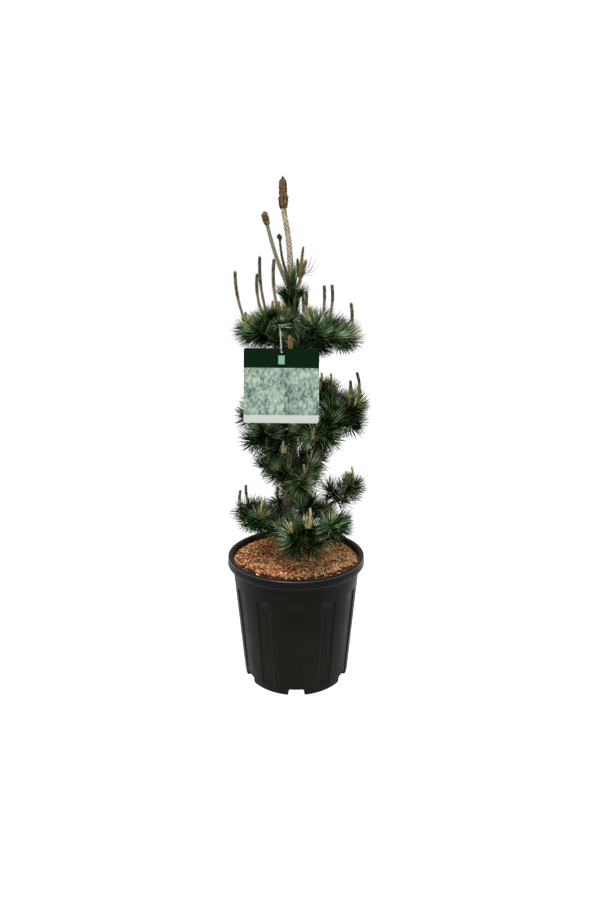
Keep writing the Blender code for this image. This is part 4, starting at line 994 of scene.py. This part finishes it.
def growTuft(heap, rng):
    # the sleeve round the neck of the trunk, close to it at first and then opening like a vase; the paler
    # needles that stand up round the leader's foot; and the loose ones
    up = np.array([0.0, 0.0, 1.0])
    made = 0

    def inside(points):
        out = np.linalg.norm(points - spaces["top_tuft"]["centre"], axis=1)
        return (out < tuft["reach"]) & (points[:, 2] < tuft["top"])

    for low, high, count, first, last, mix in tuft["rings"]:
        share = (np.arange(count) + 0.5) / count
        around = outwards(golden * np.arange(count) + 0.4)
        base = np.array([tuft["axis"], 0, low]) + up * (high - low) * share[:, None] + around * tuft["start"]
        tilt = np.radians(first + (last - first) * share**3 + rng.normal(0, 5, count))
        way, length = np.broadcast_to(up, base.shape), np.full(count, needles["length"])
        made += growNeedles(heap, rng, base, way, around, tilt, length, inside, "top_tuft", mix)
    around, tilt = outwards(np.radians(loose["turns"])), np.radians(loose["tilts"])
    base = np.array(tree["topShoots"]["side_leader_right"][1:4])
    base = base + around * loose["start"] + up * loose["lift"]
    way, length = np.broadcast_to(up, base.shape), np.full(len(tilt), loose["length"])
    return made + growNeedles(
        heap, rng, base, way, around, tilt, length, lambda points: points[:, 0] > loose["from"],
        "side_leader_right", 0, shape=loose,
    )


def makeNeedles():
    for tier in tiers:
        rng = np.random.default_rng(tree["seed"] + tiers.index(tier))
        heap, count = Heap(), 0
        for mass in plan:
            if mass["name"].startswith(tier):
                count += sum(growBrush(heap, rng, mass, shoot) for shoot in mass["shoots"])
        if tier == "top":
            count += growTuft(heap, rng)
        nodes = [name for name in frameNodes if name.startswith(f"foliage_{tier}")]
        heap.piece(f"needles_{tier}", needleMaterials, smooth=False, replaced=nodes, slot="needles")
        print("needles", tier, count)


makeNeedles()


# Candles on the shoots, and the bud clusters of the leader and its three neighbours

candle = {
    # shares of the candle's radius at its scarred lower part and at its cap, and how far it bows
    "stem": 0.60, "cap": 0.84, "short": 0.62, "bow": 0.13,
    # rows along and points round; over the given length a candle is of the long kind if it stands high enough
    # for the fresh kind, or behind the given Y; the others are fresh when they stand high and pale lower down
    "rows": 30, "around": 10, "longFrom": 0.034, "behind": -0.06, "freshFrom": 0.65,
    # smaller buds round the foot of a short one
    "besides": 2,
    # coats of scales: first and last row, how many per metre, their length, width and lift, their materials
    "coats": {
        "long": (
            (0, 17, 900, (0.0032, 0.0021, 0.0013), (4, 4, 3)),
            (13, 29, 1300, (0.0034, 0.0021, 0.0008), (1, 0, 5, 1, 5)),
        ),
        "fresh": ((0, 29, 1500, (0.0040, 0.0018, 0.0008), (2, 3, 2, 4)),),
        "pale": ((0, 29, 1500, (0.0040, 0.0018, 0.0008), (6, 2, 6, 3)),),
    },
}


def roundEnd(t, start, run):
    # 1 up to the start, then a quarter circle that falls to nearly 0 at t = 1
    return np.sqrt(np.clip(1 - ((t - start) / run) ** 2 * (t > start), 0, 1))


def candleShape(heap, rng, foot, top):
    # a thin lower part with scars, a thicker cap with a round end
    length, way = np.linalg.norm(top - foot), unit(top - foot)
    rows, around = candle["rows"], candle["around"]
    t = np.linspace(0, 1, rows)
    bow = np.array([-1.0 if foot[0] < 0 else 1.0, 0, 0]) * length * candle["bow"] * rng.uniform(0.5, 1.0)
    path = bezier(foot - way * 0.002, (foot + top) / 2 + bow, top, rows)
    fresh = foot[2] > candle["freshFrom"]
    kind = "fresh" if fresh else "pale"
    if length > candle["longFrom"] and (fresh or foot[1] > candle["behind"]):
        kind = "long"
    cap = softStep(0.40, 0.62, t)
    if kind == "long":
        share = candle["stem"] + (candle["cap"] - candle["stem"]) * cap
        slots = np.where(t[1:] > 0.5, 1, 0)
    else:
        share = candle["short"] * (0.80 + 0.2 * cap)
        slots = np.full(rows - 1, 2 if fresh else 6)
    radii = tree["candleRadius"] * share * roundEnd(t, 0.94, 0.0601) + 0.00005
    ripple = 0.09 * np.sin(t * rows * 1.9)[:, None] * np.sin(fullTurn(around) * 3)[None]
    addTube(heap, path, radii, around, ripple, slots)
    for first, last, perMetre, size, kinds in candle["coats"][kind]:
        scales(heap, path[first:last], radii[first:last], int(length * perMetre), size, kinds, rng)
    if kind == "long":
        return
    for k in range(candle["besides"]):
        turn = golden * k + rng.uniform(0, 6)
        beside = np.array([math.cos(turn), math.sin(turn), 0.0])
        start, heading = foot + beside * 0.0030 - way * 0.003, unit(way + beside * 0.16)
        budShape(heap, rng, start, heading, length * rng.uniform(0.50, 0.75) + 0.003, 0.0015, kinds[1:])


def makeCandles():
    heap = Heap()
    rng = np.random.default_rng(tree["seed"])
    for mass in plan:
        for shoot in mass["shoots"]:
            if shoot["top"] is not None:
                candleShape(heap, rng, shoot["tip"], shoot["top"])
    materials = [candleStem, candleCap, candleFresh, scaleTan, scarBrown, scaleDark, candlePale]
    heap.piece("candles", materials, slot="buds")


# Buds of a top shoot: share of the length where each starts, offset from the axis, bearing, splay in degrees,
# length and radius in mm, and the materials of its scales
topBuds = {
    "leader": (
        (0.00, 0.0, 0, 0, 57, 4.0, (2, 0, 1)), (0.40, 4.3, 190, -1.5, 28, 3.0, (2, 0, 0)),
        (0.37, 4.5, 350, -1.5, 29, 3.0, (2, 0, 1)), (0.38, 3.9, 112, -1.5, 28, 2.8, (0, 1, 3)),
        (0.33, 4.1, 58, -1.5, 30, 2.8, (3, 0, 3)), (0.38, 3.7, 300, -1.5, 28, 3.0, (0, 2)),
        (0.37, 3.7, 240, -1.5, 28, 3.0, (0, 2)), (0.03, 4.2, 190, 7, 23, 2.8, (2, 0, 1)),
        (0.02, 4.2, 350, 7, 21, 2.8, (2, 1, 0)), (0.03, 4.0, 124, 5, 24, 2.8, (3, 1, 0)),
        (0.05, 4.0, 70, 5, 22, 2.8, (3, 0, 3)), (0.04, 4.0, 315, 7, 22, 3.0, (0, 2)),
        (0.05, 4.0, 235, 7, 20, 3.0, (0, 2)),
    ),
    "side_leader_left": (
        (0.00, 0.0, 0, 0, 25, 3.3, (1, 2)), (0.05, 2.3, 180, 3, 23, 2.9, (1, 1, 2)),
        (0.11, 2.3, 0, 3, 19, 2.8, (1, 2, 2)), (0.04, 2.3, 265, 3, 20, 2.9, (1, 2, 1)),
        (0.08, 2.3, 90, 4, 21, 2.8, (1, 2)),
    ),
    "side_leader_back": (
        (0.00, 0.0, 0, 0, 11, 2.6, (2, 5)), (0.00, 1.4, 200, 14, 8, 2.1, (2,)),
        (0.10, 1.4, 20, 18, 7, 2.0, (2, 5)),
    ),
    "side_leader_right": (
        (0.00, 0.6, 0, 1, 55, 2.2, (2, 3, 3)), (0.00, 2.8, 165, 8, 33, 2.6, (1, 3, 2)),
        (0.02, 2.4, 80, 6, 36, 2.8, (3, 1, 3)), (0.02, 4.2, 0, 9, 32, 2.1, (2, 3)),
        (0.00, 3.0, 300, 8, 26, 2.8, (3, 2)), (0.00, 3.4, 40, 9, 20, 2.4, (3, 2)),
    ),
}
budLooks = {
    # rows along and points round a bud; its scales per square metre of length times radius, and their length,
    # width and lift
    "rows": 20, "around": 12, "scales": 4.2e5, "scaleSize": (0.0050, 0.0028, 0.0011),
    # stems under the buds: rows, points round, bark plates and their depth; the scars' length, width, lift
    "stemRows": 48, "stemAround": 14, "stemPlates": (5, 0.05), "scarSize": (0.0036, 0.0026, 0.0013),
}


def budShape(heap, rng, foot, heading, length, radius, kinds):
    # a spindle with a round end: the root of a half sine, closed by a quarter circle, under raised scales
    t = np.linspace(0, 1, budLooks["rows"])
    path = foot + heading * length * t[:, None]
    radii = radius * np.sqrt(np.sin(np.pi * (0.14 + 0.74 * t))) * roundEnd(t, 0.86, 0.1401) + 0.00005
    addTube(heap, path, radii * 0.88, budLooks["around"], slot=kinds[0])
    count = int(length * radius * budLooks["scales"])
    scales(heap, path[:-1], radii[:-1] * 0.92, count, budLooks["scaleSize"], kinds, rng)


def budCluster(heap, rng, name, foot, heading):
    # a long middle bud with the shorter ones pressed round it
    side = unit(np.cross(heading, [0.0, 1.0, 0.0]))
    depth = np.cross(heading, side)
    whole = topBuds[name][0][4] / 1000
    for share, offset, turn, splay, length, radius, kinds in topBuds[name]:
        around = side * math.cos(math.radians(turn)) + depth * math.sin(math.radians(turn))
        start = foot + heading * (whole * share - 0.0015) + around * offset / 1000
        way = unit(heading + around * math.tan(math.radians(splay)))
        budShape(heap, rng, start, way, length / 1000, radius / 1000, kinds)


def makeTopShoots():
    rng = np.random.default_rng(tree["seed"])
    rows, around = budLooks["stemRows"], budLooks["stemAround"]
    for name, bark, scars in (
        ("side_leader_left", barkOlive, 130), ("side_leader_back", barkDark, 60),
        ("side_leader_right", barkOlive, 40),
    ):
        heap = Heap()
        line, sizes = topShootLine(name, rows)
        addTube(heap, line, sizes, around, barkRelief(rows, around, *budLooks["stemPlates"], 2.0))
        scales(heap, line[4:], sizes[4:], scars, budLooks["scarSize"], (4,))
        ends, _ = topShootLine(name)
        budCluster(heap, rng, name, ends[-1], unit(ends[-1] - ends[-2]))
        materials = [bark, scaleTan, scaleDark, budOlive, scarBrown, barkDark]
        heap.piece(name.replace("side_leader", "side_shoot"), materials, replaced=[name], slot="buds")
    heap = Heap()
    line, _ = trunkLine(8)
    budCluster(heap, rng, "leader", line[-1], unit(np.array([-0.02, 0.0, 1.0])))
    materials = [scaleRust, scaleTan, scaleDark, scaleAmber]
    heap.piece("leader_buds", materials, replaced=["leader_bud"], slot="buds")


makeCandles()
makeTopShoots()
print("candles and buds made")


# Hanging label and its tie

cardLooks = {
    "header": "#05190b", "patch": "#6d9a7d", "foot": "#a9aca6", "headerFrom": 0.0298, "footTo": -0.0489,
    "pale": "#9dab9a", "sage": "#718277", "blue": "#425457", "back": "#c9ccc6",
    # the card: radius of its corners and of its hole, half its thickness
    "corner": 0.004, "hole": 0.0016, "half": 0.0003,
    # the plain printed panel under the hole: width, height, how far its middle lies below the top edge; the
    # radius of its corners; its depths
    "panel": (0.0104, 0.0145, 0.0192), "panelCorner": 0.0008, "panelDepths": (-0.00036, -0.00028),
}
# The cord lies on the line of its solid, thinner and closer; how far the bumps of its twist stand out
tieLooks = {
    "steps": 48, "narrow": 0.0005, "wide": 0.0018, "footWide": 0.0020, "footRise": 0.0008, "seat": 0.0001,
    "radius": 0.00042, "around": 10, "twist": 0.08,
}


def labelMaterial():
    # Printed card under gloss film: bands of sage and blue-green, a dark head and a pale foot
    made = newMaterial("printed_card", cardLooks["sage"], 0.34, Specular_IOR_Level=0.03)
    links, shader, place = shaderOf(made)
    # the height up the leaning card, measured from its middle
    middle = leaned(np.array([label["centre"]]))[0]
    raised = leaned(np.array(label["centre"]) + [[0.0, 0.0, 1.0]])[0] - middle
    z = addNode(links, "ShaderNodeVectorMath", {0: place}, operation="DOT_PRODUCT")
    z.inputs[1].default_value = raised
    z = addNode(links, "ShaderNodeMath", {0: z.outputs["Value"]}, operation="SUBTRACT")
    z.inputs[1].default_value = float(middle @ raised)
    streaks = addNode(
        links, "ShaderNodeMapping", {0: place}, Scale=(1.0, 1.0, 0.6), Rotation=(0.0, 0.35, 0.0),
    ).outputs[0]
    soft, broad = noise(links, streaks, 230.0, 3.0, 0.7), noise(links, place, 38.0, 2.0)
    both = addNode(links, "ShaderNodeMix", {2: soft, 3: broad}, data_type="FLOAT")
    both.inputs[0].default_value = 0.28
    stops = [(0.38, cardLooks["blue"]), (0.48, cardLooks["sage"]), (0.61, cardLooks["pale"])]
    field = colourRamp(links, both.outputs[0], stops)

    def above(height):
        step = addNode(links, "ShaderNodeMath", {0: z.outputs[0]}, operation="GREATER_THAN")
        step.inputs[1].default_value = height
        return step.outputs[0]

    def painted(under, colour, mask):
        mix = addNode(links, "ShaderNodeMix", {"Factor": mask, 6: under}, data_type="RGBA")
        mix.inputs[7].default_value = linearColour(colour)
        return mix.outputs[2]

    colour = painted(field, cardLooks["header"], above(cardLooks["headerFrom"]))
    below = addNode(links, "ShaderNodeMath", {1: above(cardLooks["footTo"])}, operation="SUBTRACT")
    below.inputs[0].default_value = 1.0
    colour = painted(colour, cardLooks["foot"], below.outputs[0])
    links.links.new(colour, shader.inputs["Base Color"])
    return made


def leaned(points):
    # turned about the card's hole: the lower edge forward by the tilt and to the left by the roll
    pivot = cardHole()
    tilt, roll = -math.radians(label["tiltDeg"]), math.radians(label["rollDeg"])
    x, y, z = (points - pivot).T
    x, z = x * math.cos(roll) + z * math.sin(roll), z * math.cos(roll) - x * math.sin(roll)
    y, z = y * math.cos(tilt) - z * math.sin(tilt), y * math.sin(tilt) + z * math.cos(tilt)
    return np.stack([x, y, z], -1) + pivot


cardFront = labelMaterial()
cardBack = newMaterial("card_back", cardLooks["back"], 0.35)
cardPatch = newMaterial("panel_print", cardLooks["patch"], 0.34, Specular_IOR_Level=0.05)
tiePale = newMaterial("tie_thread", "#c2c4bd", 0.70, Specular_IOR_Level=0.2)


def cardOutline(width, height, corner, around=144):
    # points of a rounded rectangle about its middle, evenly spaced in angle round each corner
    quarter = np.linspace(0, np.pi / 2, around // 4)
    x, y = width / 2 - corner, height / 2 - corner
    signs = ((1, 1), (-1, 1), (-1, -1), (1, -1))
    arcs = []
    for k, (a, b) in enumerate(signs):
        turn = quarter + k * np.pi / 2
        arcs.append(np.stack([a * x + corner * np.cos(turn), b * y + corner * np.sin(turn)], -1))
    return np.concatenate(arcs)


def holedPlate(outline, hole, front, back, centre):
    # a plate between two depths with a round hole: each outline point has one on the hole at the same bearing
    turn = np.arctan2(outline[:, 1] - hole[1], outline[:, 0] - hole[0])
    ring = np.stack([hole[0] + hole[2] * np.cos(turn), hole[1] + hole[2] * np.sin(turn)], -1)
    n = len(outline)
    loops = [(outline, front), (outline, back), (ring, back), (ring, front)]
    points = [np.stack([at[:, 0], np.full(n, depth), at[:, 1]], -1) for at, depth in loops]
    points = np.concatenate(points) + centre
    j = np.arange(n)
    k = (j + 1) % n
    pairs = ((0, 1), (1, 2), (2, 3), (3, 0))
    sides = [np.stack([a * n + j, a * n + k, b * n + k, b * n + j], -1) for a, b in pairs]
    return points, [side[:, ::-1] for side in sides]


def makeLabel():
    centre, half = np.array(label["centre"]), cardLooks["half"]
    card = cardOutline(label["width"], label["height"], cardLooks["corner"])
    hole = (0.0, label["height"] / 2 - label["holeDrop"], cardLooks["hole"])
    points, (rim, back, bore, front) = holedPlate(card, hole, -half, half, centre)
    faces = np.concatenate([rim, back, bore, front])
    slots = np.repeat([1, 1, 1, 0], len(rim))
    makePiece(
        "plant_label", leaned(points), [faces], [cardFront, cardBack], slots,
        smooth=False, replaced=["hang_label"], slot="label_card",
    )
    wide, high, drop = cardLooks["panel"]
    middle = label["height"] / 2 - drop
    panel = cardOutline(wide, high, cardLooks["panelCorner"], 48) + [0, middle]
    points, faces = holedPlate(panel, (0.0, middle, 0.00002), *cardLooks["panelDepths"], centre)
    faces = [np.concatenate(faces)]
    makePiece("label_panel", leaned(points), faces, [cardPatch], smooth=False, slot="label_card")


def makeTie():
    line = tieLine(tieLooks)
    line = np.vstack([line, line[:1]])
    rows, around = len(line), tieLooks["around"]
    twist = np.sin(np.arange(rows)[:, None] * 1.7 + np.arange(around) * 1.26)
    radius = tieLooks["radius"] * (1 + tieLooks["twist"] * twist)
    points = tubePoints(line, np.ones(rows), around, radius - 1)
    quads, fans = tubeFaces(rows, around)
    makePiece("label_cord", points, [quads, fans], [tiePale], replaced=["label_tie"], slot="tie_white")


makeLabel()
makeTie()
print("label made")


# Floor, light and camera

stage = {
    "floorHalf": 30.0, "floorLight": 1.35, "worldLight": 1.03,
    "sun": 3.0, "sunSpreadDeg": 30, "sunTurnDeg": (20, -12, 0),
    # camera: lens and sensor in mm, place, tilt in radians below level, turn in degrees
    "lens": 21.56, "sensor": 36.0, "place": (0.0, -1.054, 0.6986), "tilt": 0.209, "turnDeg": -0.44,
}


def makeStage():
    mesh = bpy.data.meshes.new("floor")
    side = stage["floorHalf"]
    corners = [(-side, -side, 0), (side, -side, 0), (side, side, 0), (-side, side, 0)]
    mesh.from_pydata(corners, [], [(0, 1, 2, 3)])
    # a lit white floor, which shows no shadow
    mesh.materials.append(newMaterial(
        "floor_white", "#000000", 1.0, Specular_IOR_Level=0.0,
        Emission_Color=(1.0, 1.0, 1.0, 1.0), Emission_Strength=stage["floorLight"],
    ))
    newObject("floor", mesh)
    # plain white studio: the same light from all sides, and one broad soft light from above and in front
    bpy.context.scene.view_settings.view_transform = "Standard"
    world = bpy.data.worlds.new("studio")
    bpy.context.scene.world = world
    world.use_nodes = True
    background = world.node_tree.nodes["Background"]
    background.inputs["Color"].default_value = (1.0, 1.0, 1.0, 1.0)
    background.inputs["Strength"].default_value = stage["worldLight"]
    lamp = bpy.data.lights.new("sky_panel", "SUN")
    lamp.energy = stage["sun"]
    lamp.angle = math.radians(stage["sunSpreadDeg"])
    newObject("sky_panel", lamp).rotation_euler = [math.radians(turn) for turn in stage["sunTurnDeg"]]


def makeCamera():
    data = bpy.data.cameras.new("camera")
    data.lens = stage["lens"]
    data.sensor_width = stage["sensor"]
    camera = newObject("camera", data)
    camera.location = stage["place"]
    camera.rotation_euler = (math.radians(90) - stage["tilt"], 0.0, math.radians(stage["turnDeg"]))
    bpy.context.scene.camera = camera


makeStage()
makeCamera()
print("all made")
